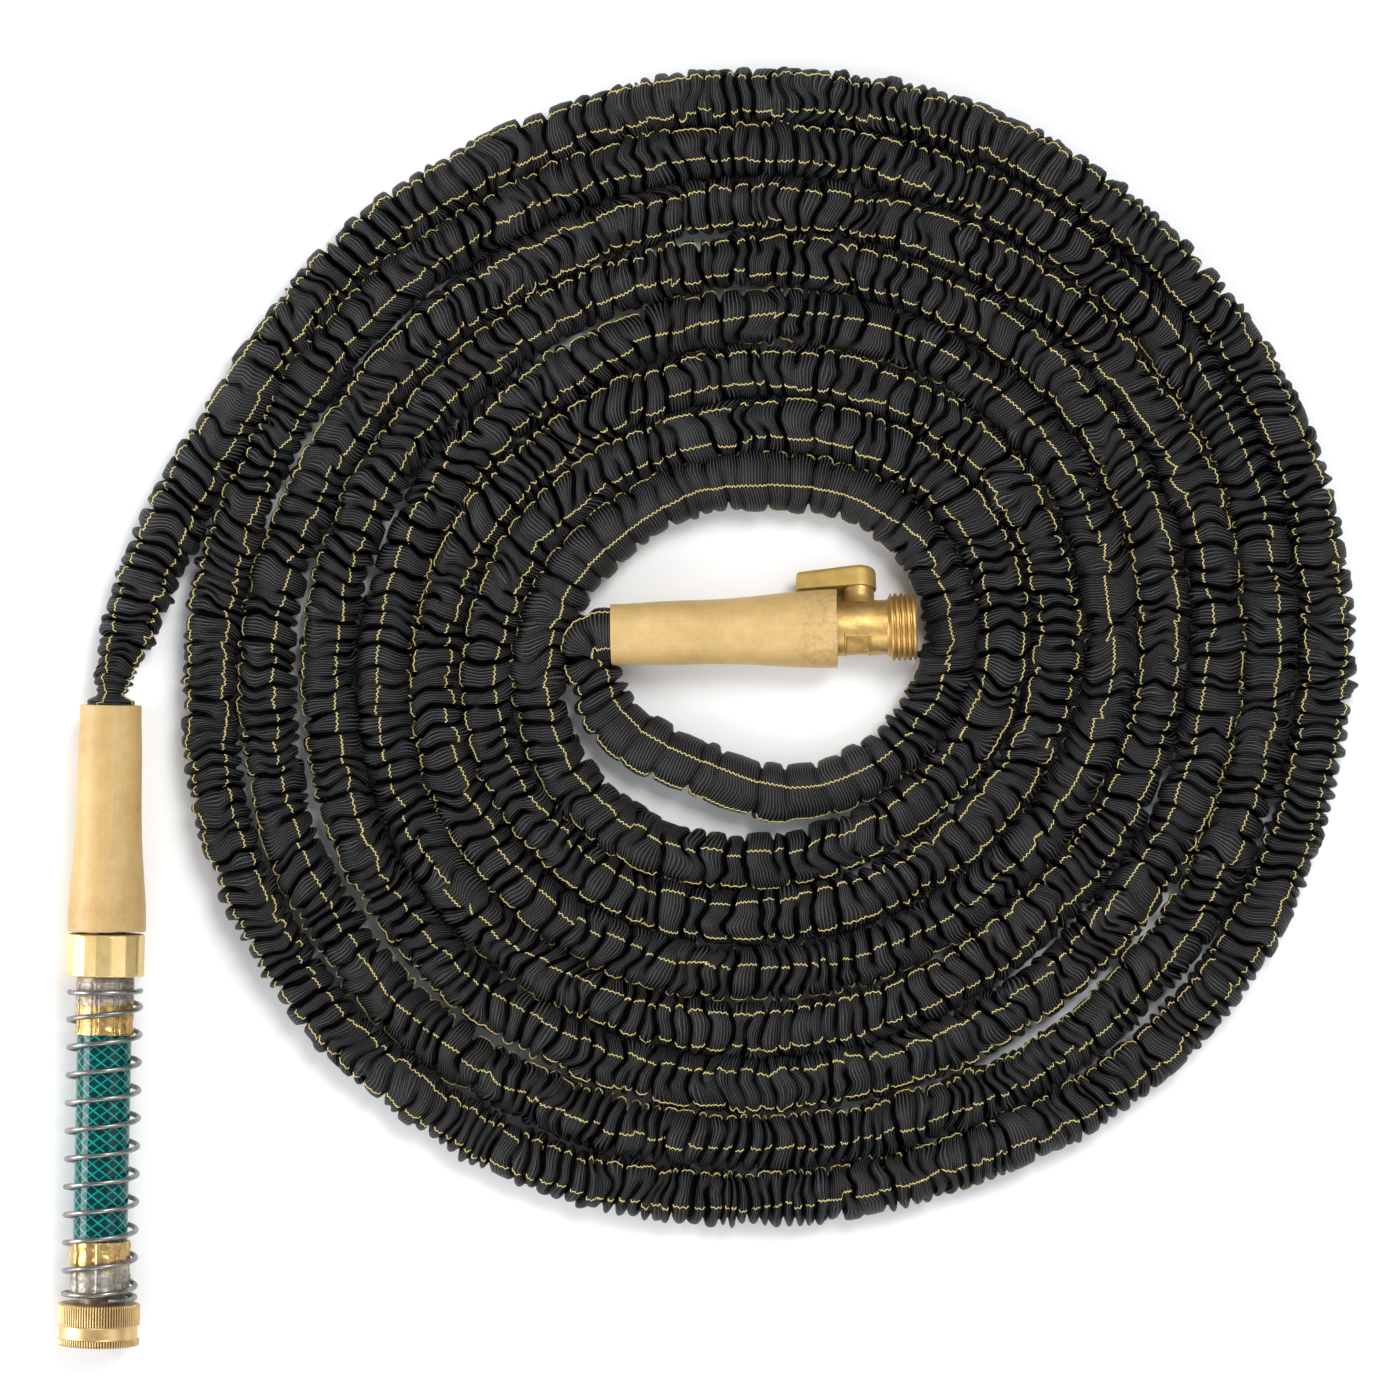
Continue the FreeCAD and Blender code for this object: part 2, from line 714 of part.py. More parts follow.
def leader_hose():
    """The reinforced leader hose, in two layers, with a crimped ferrule at each end."""
    liner_start = size.upper_ferrule_start + size.ferrule_lip + 0.1
    liner_end = size.lower_ferrule_end - size.ferrule_lip - 0.1
    barb = size.leader_barb_radius + 0.05
    keep(
        ring("leader_liner", barb, size.liner_outer_radius, liner_start, liner_end),
        "leader_liner",
        inlet_frame,
    )
    keep(
        ring("leader_cover", size.cover_inner_radius, size.cover_outer_radius, liner_start, liner_end),
        "leader_cover",
        inlet_frame,
    )
    inner = size.ferrule_inner_radius
    upper_lip = size.upper_ferrule_start + size.ferrule_lip
    upper = turned(
        "upper_ferrule",
        [
            (barb, size.upper_ferrule_start),
            (size.upper_ferrule_radius, size.upper_ferrule_start),
            (size.upper_ferrule_radius, size.upper_ferrule_end),
            (inner, size.upper_ferrule_end),
            (inner, upper_lip),
            (barb, upper_lip),
        ],
    )
    keep(upper, "upper_ferrule", inlet_frame)
    lower_lip = size.lower_ferrule_end - size.ferrule_lip
    lower = turned(
        "lower_ferrule",
        [
            (inner, size.lower_ferrule_start),
            (size.lower_ferrule_radius, size.lower_ferrule_start),
            (size.lower_ferrule_radius, size.lower_ferrule_end),
            (barb, size.lower_ferrule_end),
            (barb, lower_lip),
            (inner, lower_lip),
        ],
    )
    keep(lower, "lower_ferrule", inlet_frame)


def leader_ends():
    """The threaded end inside the faceted nut, and the flanged tail inside the knurled nut."""
    upper_barb_end = size.upper_ferrule_start + size.leader_barb_length
    male = turned(
        "leader_male_end",
        [
            (size.leader_bore_radius, size.male_end_start),
            (size.male_end_radius, size.male_end_start),
            (size.male_end_radius, size.male_thread_end),
            (size.shoulder_radius - 1, size.male_thread_end),
            (size.shoulder_radius - 1, size.shoulder_start),
            (size.shoulder_radius, size.shoulder_start),
            (size.shoulder_radius, size.upper_ferrule_start),
            (size.leader_barb_radius, size.upper_ferrule_start),
            (size.leader_barb_radius, upper_barb_end),
            (size.leader_bore_radius, upper_barb_end),
        ],
    )
    keep(male, "leader_male_end", inlet_frame)
    flange_start = size.tap_nut_start + size.tap_nut_lip + 0.1
    lower_barb_start = size.lower_ferrule_end - size.leader_barb_length
    tail = turned(
        "leader_tail",
        [
            (size.leader_bore_radius, lower_barb_start),
            (size.leader_barb_radius, lower_barb_start),
            (size.leader_barb_radius, size.lower_ferrule_end),
            (size.shoulder_radius - 1, size.lower_ferrule_end),
            (size.shoulder_radius - 1, size.lower_ferrule_end + 2),
            (size.neck_radius, size.lower_ferrule_end + 2),
            (size.neck_radius, flange_start),
            (size.swivel_flange_radius, flange_start),
            (size.swivel_flange_radius, size.tap_flange_end),
            (size.leader_bore_radius, size.tap_flange_end),
        ],
    )
    keep(tail, "leader_tail", inlet_frame)


def spring_station(turns):
    """How far along the inlet axis the spring's wire is after this many turns."""
    closed_turns = SPRING_CLOSED_FIRST + SPRING_CLOSED_LAST
    open_turns = SPRING_TURNS - closed_turns
    lie = number(size.spring_wire_radius) * 2 * SPRING_CLOSED_GAP
    opened = min(max(turns - SPRING_CLOSED_FIRST, 0.0), open_turns)
    open_pitch = (number(size.spring_end - size.spring_start) - lie * closed_turns) / open_turns
    return number(size.spring_start) + lie * (turns - opened) + open_pitch * opened


def spring_guard():
    """The open wire spring round the leader hose, with closed coils at each end."""
    radius = number(size.spring_radius)
    points = []
    for step in range(round(SPRING_TURNS * SPRING_POINTS_PER_TURN) + 1):
        turns = step / SPRING_POINTS_PER_TURN
        angle = math.tau * turns
        around = FreeCAD.Vector(math.cos(angle), math.sin(angle), 0) * radius
        points.append(around + Z_AXIS * spring_station(turns))
    line = Part.BSplineCurve()
    line.interpolate(points)
    heading = line.tangent(line.FirstParameter)[0]
    section = Part.Wire(Part.Circle(points[0], heading, number(size.spring_wire_radius)).toShape())
    feature = document.addObject("Part::Feature", "leader_spring")
    feature.Shape = Part.Wire(line.toShape()).makePipeShell([section], True, True)
    keep(feature, "leader_spring", inlet_frame)


def inlet():
    """Everything at the tap end of the hose."""
    grip_sleeve("inlet_sleeve", inlet_frame)
    hose_end("inlet", inlet_frame)
    flange_start = size.inlet_nut_start + size.nut_lip + 0.1
    nose = [
        (size.neck_radius, size.barb_flange_end),
        (size.neck_radius, flange_start),
        (size.swivel_flange_radius, flange_start),
        (size.swivel_flange_radius, size.inlet_flange_end),
    ]
    keep(barbed_tail("inlet_barb", nose), "inlet_barb", inlet_frame)
    inlet_nut()
    washers = (
        ("inlet_washer", size.inlet_flange_end, size.nut_bore_radius),
        ("tap_washer", size.tap_flange_end, size.tap_nut_relief_radius),
    )
    for name, start, bore in washers:
        rubber = ring(name, size.washer_hole_radius, bore - 0.3, start, start + size.washer_thickness)
        keep(rubber, name, inlet_frame)
    leader_ends()
    leader_hose()
    spring_guard()
    tap_nut()


def coil_radius(degrees):
    """How far the middle of the hose is from the middle of the coil, at this angle along the spiral."""
    turns = (degrees - TURN) / TURN
    radius = number(size.coil_first_radius) + number(size.coil_pitch) * turns
    radius += number(size.coil_drop) * math.cos(math.radians(degrees - DROP_HEADING))
    oval = number(size.coil_oval) - number(size.coil_oval_loss) * turns
    radius += oval * math.cos(2 * math.radians(degrees - OVAL_TILT))
    for middle, extra, width in COIL_SLACK:
        radius += extra * math.exp(-(((degrees - middle) / width) ** 2))
    return radius


def coil_point(degrees, aside=0.0):
    """A point on the spiral's line, or this far outside it, on the floor."""
    radius = coil_radius(degrees) + aside
    angle = math.radians(degrees)
    return coil_middle + FreeCAD.Vector(radius * math.cos(angle), radius * math.sin(angle), 0)


def edge_curve(first, last, aside):
    """A smooth line along the spiral between two angles, this far outside the hose's middle."""
    count = round(abs(last - first) / TURN * COIL_POINTS_PER_TURN) + 1
    step = (last - first) / (count - 1)
    curve = Part.BSplineCurve()
    curve.interpolate([coil_point(first + step * index, aside) for index in range(count)])
    return curve.toShape()


def tail_heading():
    """The direction in which the hose leaves the end of the coil."""
    run = tail_points()[1] - tail_points()[0]
    run.z = 0
    return run.normalize()


def tail_points():
    """The route from the end of the coil to the inlet sleeve's mouth."""
    height = number(size.hose_radius)
    start = coil_point(COIL_END)
    start.z = height
    mouth = inlet_frame.Base
    before = mouth - inlet_direction * TAIL_LAST_RUN
    return [start] + [coil_middle + FreeCAD.Vector(*point) for point in TAIL_ROUTE] + [before, mouth]


def hose_coil():
    """The coiled hose as one flat solid, open in the middle where the valve lies."""
    radius = number(size.hose_radius)
    side = tail_heading().cross(Z_AXIS) * radius
    end = coil_point(COIL_END)
    outer_corner = max((end - side, end + side), key=lambda corner: (corner - coil_middle).Length)
    inner_corner = end * 2 - outer_corner
    outer_first = COIL_END - TURN + OUTER_EDGE_GAP
    last_turn = edge_curve(outer_first, COIL_END - OUTER_EDGE_GAP, radius - EDGE_SOFTNESS)
    outer = Part.Wire(
        [
            last_turn,
            Part.LineSegment(last_turn.valueAt(last_turn.LastParameter), outer_corner).toShape(),
            Part.LineSegment(outer_corner, inner_corner).toShape(),
            Part.LineSegment(inner_corner, last_turn.valueAt(last_turn.FirstParameter)).toShape(),
        ]
    )
    first_turn = edge_curve(COIL_START, COIL_START + TURN - INNER_EDGE_GAP, -radius)
    mouth = outlet_frame.Base
    reach = number(size.sleeve_mouth_radius)
    mouth_top = FreeCAD.Vector(mouth.x, mouth.y + reach, 0)
    mouth_bottom = FreeCAD.Vector(mouth.x, mouth.y - reach, 0)
    inner = Part.Wire(
        [
            first_turn,
            Part.LineSegment(first_turn.valueAt(first_turn.LastParameter), mouth_top).toShape(),
            Part.LineSegment(mouth_top, mouth_bottom).toShape(),
            Part.LineSegment(mouth_bottom, first_turn.valueAt(first_turn.FirstParameter)).toShape(),
        ]
    )
    lift = Z_AXIS * radius * 2
    slab = Part.Face(outer).extrude(lift).cut(Part.Face(inner).extrude(lift))
    feature = document.addObject("Part::Feature", "hose_coil")
    feature.Shape = slab.Solids[0]
    keep(feature, "hose_coil", FreeCAD.Placement())


def rounded_route(points):
    """Straight runs joined by tangent arcs, each as large as its two runs allow."""
    edges = []
    last = points[0]
    for before, corner, after in zip(points, points[1:], points[2:]):
        inward = (corner - before).normalize()
        outward = (after - corner).normalize()
        half_turn = inward.getAngle(outward) / 2
        back = ARC_SHARE * min((corner - before).Length, (after - corner).Length)
        arc_radius = back / math.tan(half_turn)
        start = corner - inward * back
        end = corner + outward * back
        bisector = (outward - inward).normalize()
        middle = corner + bisector * (arc_radius / math.cos(half_turn) - arc_radius)
        print(f"tail arc: radius {arc_radius:.1f} mm, turn {math.degrees(2 * half_turn):.1f} degrees")
        edges.append(Part.LineSegment(last, start).toShape())
        edges.append(Part.Arc(start, middle, end).toShape())
        last = end
    edges.append(Part.LineSegment(last, points[-1]).toShape())
    return Part.Wire(edges)


def hose_tail():
    """The hose from the end of the coil to the inlet sleeve, as a plain tube."""
    points = tail_points()
    path = rounded_route(points)
    radius = number(size.hose_radius)
    section = Part.Wire(Part.Circle(points[0], (points[1] - points[0]).normalize(), radius).toShape())
    tube = path.makePipeShell([section], True, False)
    match = tube.Volume / (math.pi * radius**2 * path.Length)
    print(f"tail length {path.Length:.1f} mm, volume over section times length {match:.4f}")
    if abs(match - 1) > 1 - LEAST_TUBE_MATCH:
        raise RuntimeError("the tail's tube doesn't hold its section times its length")
    feature = document.addObject("Part::Feature", "hose_tail")
    feature.Shape = tube
    keep(feature, "hose_tail", FreeCAD.Placement())


def coil_length():
    """The length of hose in the coil, measured along the spiral in steps of one degree."""
    steps = range(round(COIL_START), round(COIL_END))
    return sum((coil_point(step + 1) - coil_point(step)).Length for step in steps)


def check_and_write():
    """Stops on any failed object or bad shape, then writes one STEP file for each sub-part."""
    document.recompute()
    for item in document.Objects:
        if "Invalid" in item.State or "Error" in item.State:
            raise RuntimeError(f"{item.Label} failed: {item.State}")
    os.makedirs("parts", exist_ok=True)
    for feature in pieces:
        shape = feature.Shape
        if shape.isNull() or not shape.isValid() or shape.Volume <= 0:
            raise RuntimeError(f"{feature.Label} has no valid shape")
        shape.exportStep(os.path.join("parts", f"{feature.Label}.step"))


outlet()
inlet()
hose_coil()
hose_tail()
check_and_write()
print(f"hose in the coil: {coil_length():.0f} mm")
print(f"{len(pieces)} sub-parts written")
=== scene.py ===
"""Looks of an expandable garden hose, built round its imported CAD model. Metres, in the CAD model's frame."""
import json
import math
import bpy
import numpy as np
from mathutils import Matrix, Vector


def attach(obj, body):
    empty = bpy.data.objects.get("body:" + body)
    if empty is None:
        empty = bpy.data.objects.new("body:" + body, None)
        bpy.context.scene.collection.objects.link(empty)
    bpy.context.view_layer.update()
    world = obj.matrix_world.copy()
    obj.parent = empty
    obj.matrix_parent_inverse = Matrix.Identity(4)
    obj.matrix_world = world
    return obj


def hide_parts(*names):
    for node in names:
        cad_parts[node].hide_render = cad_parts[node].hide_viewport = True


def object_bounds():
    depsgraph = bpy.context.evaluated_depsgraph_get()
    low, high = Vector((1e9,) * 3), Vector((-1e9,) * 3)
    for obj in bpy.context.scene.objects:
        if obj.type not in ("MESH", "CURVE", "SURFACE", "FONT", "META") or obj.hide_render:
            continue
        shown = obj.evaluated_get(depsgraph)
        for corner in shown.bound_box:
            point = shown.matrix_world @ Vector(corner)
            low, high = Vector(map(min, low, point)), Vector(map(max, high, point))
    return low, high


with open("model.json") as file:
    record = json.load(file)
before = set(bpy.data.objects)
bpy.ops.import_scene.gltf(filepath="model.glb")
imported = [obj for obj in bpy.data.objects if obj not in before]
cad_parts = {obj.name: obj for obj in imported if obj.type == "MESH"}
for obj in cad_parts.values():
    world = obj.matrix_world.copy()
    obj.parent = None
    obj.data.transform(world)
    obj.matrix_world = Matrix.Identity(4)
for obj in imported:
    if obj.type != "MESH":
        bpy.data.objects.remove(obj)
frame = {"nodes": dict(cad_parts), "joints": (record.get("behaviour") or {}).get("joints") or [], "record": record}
cad_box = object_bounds()

# Stations, radii and outlines of the fittings are in millimetres, in their own frames.
MM = 0.001
SEED = 11
UP = np.array((0.0, 0.0, 1.0))


# ---------------- camera

# Metres: the camera's height, the width it sees at VIEW_LEVEL, and how far it is aside of the object's middle.
CAMERA_HEIGHT = 2.4
VIEW_WIDTH = 0.560
VIEW_LEVEL = 0.013
CAMERA_ASIDE = (0.0015, 0.0010)
VIEW_ROLL = math.radians(-1.5)
SENSOR_WIDTH = 36.0


def new_object(name, data):
    thing = bpy.data.objects.new(name, data)
    bpy.context.scene.collection.objects.link(thing)
    return thing


def add_camera():
    """A long lens that looks straight down on the middle of the object."""
    lens = bpy.data.cameras.new("camera")
    lens.sensor_width = SENSOR_WIDTH
    lens.lens = SENSOR_WIDTH * (CAMERA_HEIGHT - VIEW_LEVEL) / VIEW_WIDTH
    lens.clip_end = 10.0
    camera = new_object("camera", lens)
    middle = (cad_box[0] + cad_box[1]) / 2
    camera.location = (middle.x + CAMERA_ASIDE[0], middle.y + CAMERA_ASIDE[1], CAMERA_HEIGHT)
    camera.rotation_euler = (0.0, 0.0, VIEW_ROLL)
    bpy.context.scene.camera = camera


# ---------------- the hose's line

HOSE_RADIUS = 0.010
COIL_MIDDLE = np.array((0.1120, 0.1227, 0.0))
# The curl out of the valve's sleeve, then the coil's formula, then the run to the tap end's sleeve,
# all from the middle of the coil. The last two points are the inlet sleeve's own.
CURL_ROUTE = [
    (-0.0589, 0.0039, 0.0157), (-0.0642, 0.0040, 0.0150), (-0.0697, -0.0008, 0.0124),
    (-0.0692, -0.0072, 0.0106),
]
TAIL_ROUTE = [
    (-0.2098, 0.0930, 0.0100), (-0.2262, 0.0665, 0.0100), (-0.2395, 0.0405, 0.0100),
    (-0.2495, 0.0170, 0.0100), (-0.2554, 0.0005, 0.0116), (-0.25866, -0.00951, 0.0164),
    (-0.2591, -0.0190, 0.0164),
]
COIL_START = 190
COIL_END = 3029
COIL_STEP = 10
COIL_FIRST_RADIUS = 0.0706
COIL_PITCH = 0.0219
COIL_DROP = 0.0074
DROP_HEADING = -86.5
COIL_OVAL = 0.0075
COIL_OVAL_LOSS = 0.00055
OVAL_TILT = 18.0
# Places where a turn stands away from the even spiral: angle, extra radius, half width in degrees.
COIL_SLACK = [
    (240.0, -0.0135, 35.0), (470.0, 0.0034, 20.0), (1600.0, -0.0018, 60.0), (2370.0, 0.0045, 35.0),
    (2470.0, 0.0040, 20.0), (2730.0, 0.0069, 40.0), (2840.0, 0.0050, 20.0),
    (2980.0, -0.0022, 20.0),
]
# A spline of order 3 runs this much inside a ring of control points COIL_STEP degrees apart.
SPLINE_CUT = 0.25 + 0.75 * math.cos(math.radians(COIL_STEP / 2))


def coil_point(degrees):
    """The coil's place from its middle, at this many degrees along its turns."""
    turns = (degrees - 360.0) / 360.0
    radius = COIL_FIRST_RADIUS + COIL_PITCH * turns
    radius += COIL_DROP * math.cos(math.radians(degrees - DROP_HEADING))
    radius += (COIL_OVAL - COIL_OVAL_LOSS * turns) * math.cos(2 * math.radians(degrees - OVAL_TILT))
    for middle, extra, width in COIL_SLACK:
        radius += extra * math.exp(-(((degrees - middle) / width) ** 2))
    radius /= SPLINE_CUT
    angle = math.radians(degrees)
    return (radius * math.cos(angle), radius * math.sin(angle), HOSE_RADIUS)


def hose_route():
    turns = [coil_point(degrees) for degrees in range(COIL_START, COIL_END + 1, COIL_STEP)]
    return [COIL_MIDDLE + np.array(point) for point in CURL_ROUTE + turns + TAIL_ROUTE]


def spline_points(route):
    """The points of a smooth NURBS spline that has the route as its control points."""
    curve = bpy.data.curves.new("hose_line", "CURVE")
    curve.dimensions = "3D"
    curve.resolution_u = 8
    spline = curve.splines.new("NURBS")
    spline.points.add(len(route) - 1)
    for point, place in zip(spline.points, route):
        point.co = (*place, 1.0)
    spline.order_u = 3
    spline.use_endpoint_u = True
    holder = bpy.data.objects.new("hose_line", curve)
    mesh = bpy.data.meshes.new_from_object(holder)
    points = np.array([vertex.co for vertex in mesh.vertices], float)
    bpy.data.objects.remove(holder)
    bpy.data.curves.remove(curve)
    bpy.data.meshes.remove(mesh)
    return points


def unit(vectors):
    return vectors / np.linalg.norm(vectors, axis=-1, keepdims=True)


def near(angle, middle):
    """How far an angle is from the middle, in radians either way."""
    return (angle - middle + math.pi) % math.tau - math.pi


def fade_in(distance, length):
    """A share that grows from 0 to 1 over this length."""
    return np.clip(distance / length, 0.0, 1.0)


class Line:
    """A smooth line on the floor, with its place and its own axes at any station along it."""

    def __init__(self, points):
        self.points = points
        steps = np.linalg.norm(np.diff(points, axis=0), axis=1)
        self.stations = np.concatenate([[0.0], np.cumsum(steps)])
        self.length = self.stations[-1]
        self.headings = unit(np.gradient(points, self.stations, axis=0))
        self.bends = np.gradient(self.headings, self.stations, axis=0)

    def read(self, values, stations):
        return np.stack([np.interp(stations, self.stations, values[:, i]) for i in range(3)], axis=-1)

    def axes(self, stations):
        """Place, heading, the side away from the coil's middle, and the way up."""
        heading = unit(self.read(self.headings, stations))
        side = unit(np.cross(heading, UP))
        return self.read(self.points, stations), heading, side, np.cross(side, heading)


# ---------------- noise

def wander(rng, stations, spacing):
    """Smooth noise of about unit size, with a new value every spacing."""
    first = stations.min() - spacing
    place = (stations - first) / spacing
    cell = np.floor(place).astype(int)
    values = rng.normal(size=cell.max() + 2)
    part = place - cell
    part = part * part * (3 - 2 * part)
    return values[cell] * (1 - part) + values[cell + 1] * part


def swirl(rng, stations, spacing, angles, lowest, highest):
    """Noise of about unit size over the hose's length (rows) and the way round it (columns)."""
    total = np.zeros((len(stations), len(angles)))
    power = 0.0
    for waves in range(lowest, highest + 1):
        share = 1.0 / math.sqrt(waves + 1)
        power += share**2 * (0.5 if waves else 1.0)
        total += share * np.outer(wander(rng, stations, spacing), np.cos(waves * angles))
        if waves:
            total += share * np.outer(wander(rng, stations, spacing), np.sin(waves * angles))
            power += share**2 * 0.5
    return total / math.sqrt(power)


def smooth_rows(table, width):
    """The table with each column blurred along its rows."""
    reach = int(3 * width)
    weights = np.exp(-0.5 * (np.arange(-reach, reach + 1) / width) ** 2)
    weights /= weights.sum()
    padded = np.concatenate([np.repeat(table[:1], reach, 0), table, np.repeat(table[-1:], reach, 0)])
    blurred = np.zeros_like(table)
    for index, weight in enumerate(weights):
        blurred += weight * padded[index : index + len(table)]
    return blurred


# ---------------- gathered sheath

SEGMENTS = 52
# How much closer together the segments are on top, where they are seen, than below.
CROWDING = 0.45
# Rings in half a fold: millimetres from the crease, at most this share of the fold, and share of its depth.
HALF_FOLD = [
    (0.0, 0.0, 1.0), (0.48, 0.09, 0.90), (0.90, 0.17, 0.60),
    (1.35, 0.27, 0.25), (2.0, 0.38, 0.06), (99.0, 0.5, 0.0),
]
FOLD_RINGS = 2 * len(HALF_FOLD) - 2
# Metres along the hose, and the width of one fold there in millimetres.
FOLD_WIDTHS = [
    (0.0, 6.0), (0.03, 7.0), (0.05, 12.0), (0.145, 12.0), (0.165, 5.8), (0.25, 5.8), (0.285, 8.0),
    (0.40, 8.5), (0.45, 7.0), (0.8, 7.0), (1.7, 6.6), (2.6, 6.3), (3.6, 6.0), (4.8, 5.7), (6.0, 5.3),
    (7.1, 5.2), (7.25, 7.0), (7.36, 8.0), (7.41, 5.0), (7.43, 3.0), (7.45, 2.5),
]
FOLD_UNEVENNESS = 0.28
# Metres along the hose, and how tightly the sheath is gathered there.
GATHERING = [
    (0.0, 1.0), (0.030, 0.9), (0.045, 0.24), (0.145, 0.26), (0.165, 0.85),
    (0.255, 0.85), (0.285, 0.28), (0.40, 0.30), (0.44, 0.75), (0.55, 1.0),
]
# The sheath's radius in millimetres: on the whole, and at metres back from its end or ahead of its start.
BODY_RADIUS = 10.55
TAIL_RADII = [
    (0.0, 9.2), (0.0016, 9.4), (0.0032, 6.4), (0.0045, 5.6), (0.0065, 6.6), (0.0085, 7.6), (0.014, 7.2),
    (0.020, 8.6), (0.030, 10.2), (0.055, 11.4), (0.080, 12.0), (0.110, 11.4), (0.150, BODY_RADIUS),
]
CURL_RADII = [(0.0, 10.5), (0.0015, 10.8), (0.006, 11.4), (0.016, 11.0), (0.030, BODY_RADIUS)]
LEAST_RADIUS = 0.003

# Creases closed part of the way round: folds in a run of them, their share, how much it changes and grows where
# the sheath is smooth, and the loss of depth.
RUN_FOLDS = 9.0
CLOSED_SHARE, CLOSED_CHANGE, CLOSED_GROWTH = 0.52, 0.30, 0.35
CLOSED_LOSS = 0.93
# Radians from the top to the middle of a closed part, how far that strays, its reach, and its soft edge.
CLOSED_MIDDLE, CLOSED_STRAY = 1.25, 0.9
CLOSED_REACH = (0.30, 0.95)
CLOSED_EDGE = 0.10
# The depth of the creases, as a share of the usual: its mean, its changes, and its limits.
OPEN_SHARE, OPEN_CHANGE, SLACK_CHANGE = 0.86, 0.22, 0.18
OPEN_LIMITS = (0.12, 1.15)
# How unevenly creases are spaced round the hose, by chance and where one closes, and a fold's limits.
UNEVEN_SPACING, CLOSED_SPACING = 0.13, 0.42
SPACING_LIMITS = (0.55, 1.9)
# How far creases slant and wave.
SLANT, WAVE = 0.0013, 0.0006
# The depth of a crease as a share of its fold's width, and its limits.
DEPTH_SHARE = 0.62
DEPTH_LIMITS = (0.0026, 0.0042)
# How far folds swell from one to the next and along the hose, and rise at its sides or where they are wide.
SWELL, LONG_SWELL = 0.00058, 0.00025
SIDE_RISE, SMOOTH_SIDE_RISE, WIDE_RISE = 0.0008, 0.0007, 0.0006
LEAN = 0.10
# How much wider the limp sheath is below its middle, where it rests on the floor, and its height to its width.
SPREAD = 0.04
LOWNESS = 0.985
# The share of a bend's radius that cloth inside it reaches freely, and how much further it can be pushed.
FREE_REACH, PUSHED_REACH = 0.5, 0.35
# How far the sheath sways from its line, over what length, and over what length at its ends this fades.
SWAY = 0.45 * MM
SWAY_LENGTH = 0.045
SWAY_FADE = 0.15
# The height below which the floor flattens the sheath, and the least height.
FLATTENED_BELOW = 0.0016
LEAST_HEIGHT = 0.0002
# How far the cut ends are tucked into the sleeves.
TUCKED_END = 0.003


def fold_starts(rng, length):
    """Stations of the creases, scaled to end at the hose's end."""
    starts = [0.0]
    stations = [station for station, _ in FOLD_WIDTHS]
    widths = [width * MM for _, width in FOLD_WIDTHS]
    while starts[-1] < length:
        width = float(np.interp(starts[-1], stations, widths))
        starts.append(starts[-1] + width * math.exp(FOLD_UNEVENNESS * rng.normal()))
    starts = np.array(starts)
    return starts * (length / starts[-1])


def body_radius(stations, length):
    """The sheath's radius over its folds' crests, without the folds."""
    radius = np.full(stations.shape, BODY_RADIUS)
    back, tail = zip(*TAIL_RADII)
    ahead, curl = zip(*CURL_RADII)
    radius = np.where(length - stations < back[-1], np.interp(length - stations, back, tail), radius)
    radius = np.where(stations < ahead[-1], np.interp(stations, ahead, curl), radius)
    return radius * MM


def closed_creases(rng, folds, angles, gathered):
    """How closed each crease is at each angle. They close on alternate sides, where neighbouring folds join."""
    run = wander(rng, folds, RUN_FOLDS)
    share = CLOSED_SHARE + CLOSED_CHANGE * np.tanh(run) + CLOSED_GROWTH * (1.0 - gathered[:, 0])
    middle = rng.uniform(-CLOSED_STRAY, CLOSED_STRAY, len(folds))
    middle += np.where(folds % 2 == 0, CLOSED_MIDDLE, -CLOSED_MIDDLE)
    reach = rng.uniform(*CLOSED_REACH, len(folds)) * (rng.random(len(folds)) < share)
    apart = np.abs(near(angles[None, :], middle[:, None]))
    closed = 1.0 / (1.0 + np.exp((apart - reach[:, None]) / CLOSED_EDGE))
    return closed * (reach > 0)[:, None]


def crease_stations(rng, base, width, closed, gathered, angles, near_end):
    """The station of each crease at each angle."""
    folds = np.arange(len(base), dtype=float)
    after = np.roll(closed, -1, 0)
    spacing = 1.0 + UNEVEN_SPACING * swirl(rng, folds, 1.0, angles, 1, 4)
    spacing += CLOSED_SPACING * (closed - closed.mean(1, keepdims=True))
    spacing += CLOSED_SPACING * (after - after.mean(1, keepdims=True))
    spacing = 1.0 + (spacing - 1.0) * gathered
    drift = np.cumsum(width * (np.clip(spacing, *SPACING_LIMITS) - 1.0), axis=0)
    drift -= smooth_rows(drift, 3.0)
    slant = SLANT * swirl(rng, base, 0.030, angles, 1, 1)
    slant += WAVE * swirl(rng, base, 0.020, angles, 2, 3)
    crease = base[:, None] + (drift + slant * gathered) * fade_in(near_end, 0.02)
    return np.maximum.accumulate(crease, axis=0)


def fold_rings(crease, width, crest, depth, crown, lean):
    """Every fold's rings from crease to crease: stations, radii over the body's, and how deep each is pinched."""
    span = np.diff(crease, axis=0)
    before = np.concatenate([crest[:1], crest[:-1]])
    wide = np.clip(span / width[:-1] - 1.0, -0.5, 1.0) * WIDE_RISE
    stations, radii, pinches = [], [], []
    for index in range(FOLD_RINGS):
        rising = index < len(HALF_FOLD)
        distance, share, drop = HALF_FOLD[index if rising else FOLD_RINGS - index]
        across = np.minimum(distance * MM / span.clip(1e-4), share)
        across = across if rising else 1.0 - across
        arch = np.sin(math.pi * across)
        stations.append(crease[:-1] + span * (across + lean[:-1] * arch * 0.6))
        neighbour, fall = (before[:-1], depth[:-1]) if rising else (crest[1:], depth[1:])
        side = 0.5 * drop
        rise = wide * (1 - drop) + crown[:-1] * (arch - 0.5)
        radii.append(crest[:-1] * (1 - side) + neighbour * side - fall * drop + rise)
        pinches.append(fall * drop)
    return [np.stack(rows, axis=1).reshape(-1, SEGMENTS) for rows in (stations, radii, pinches)]


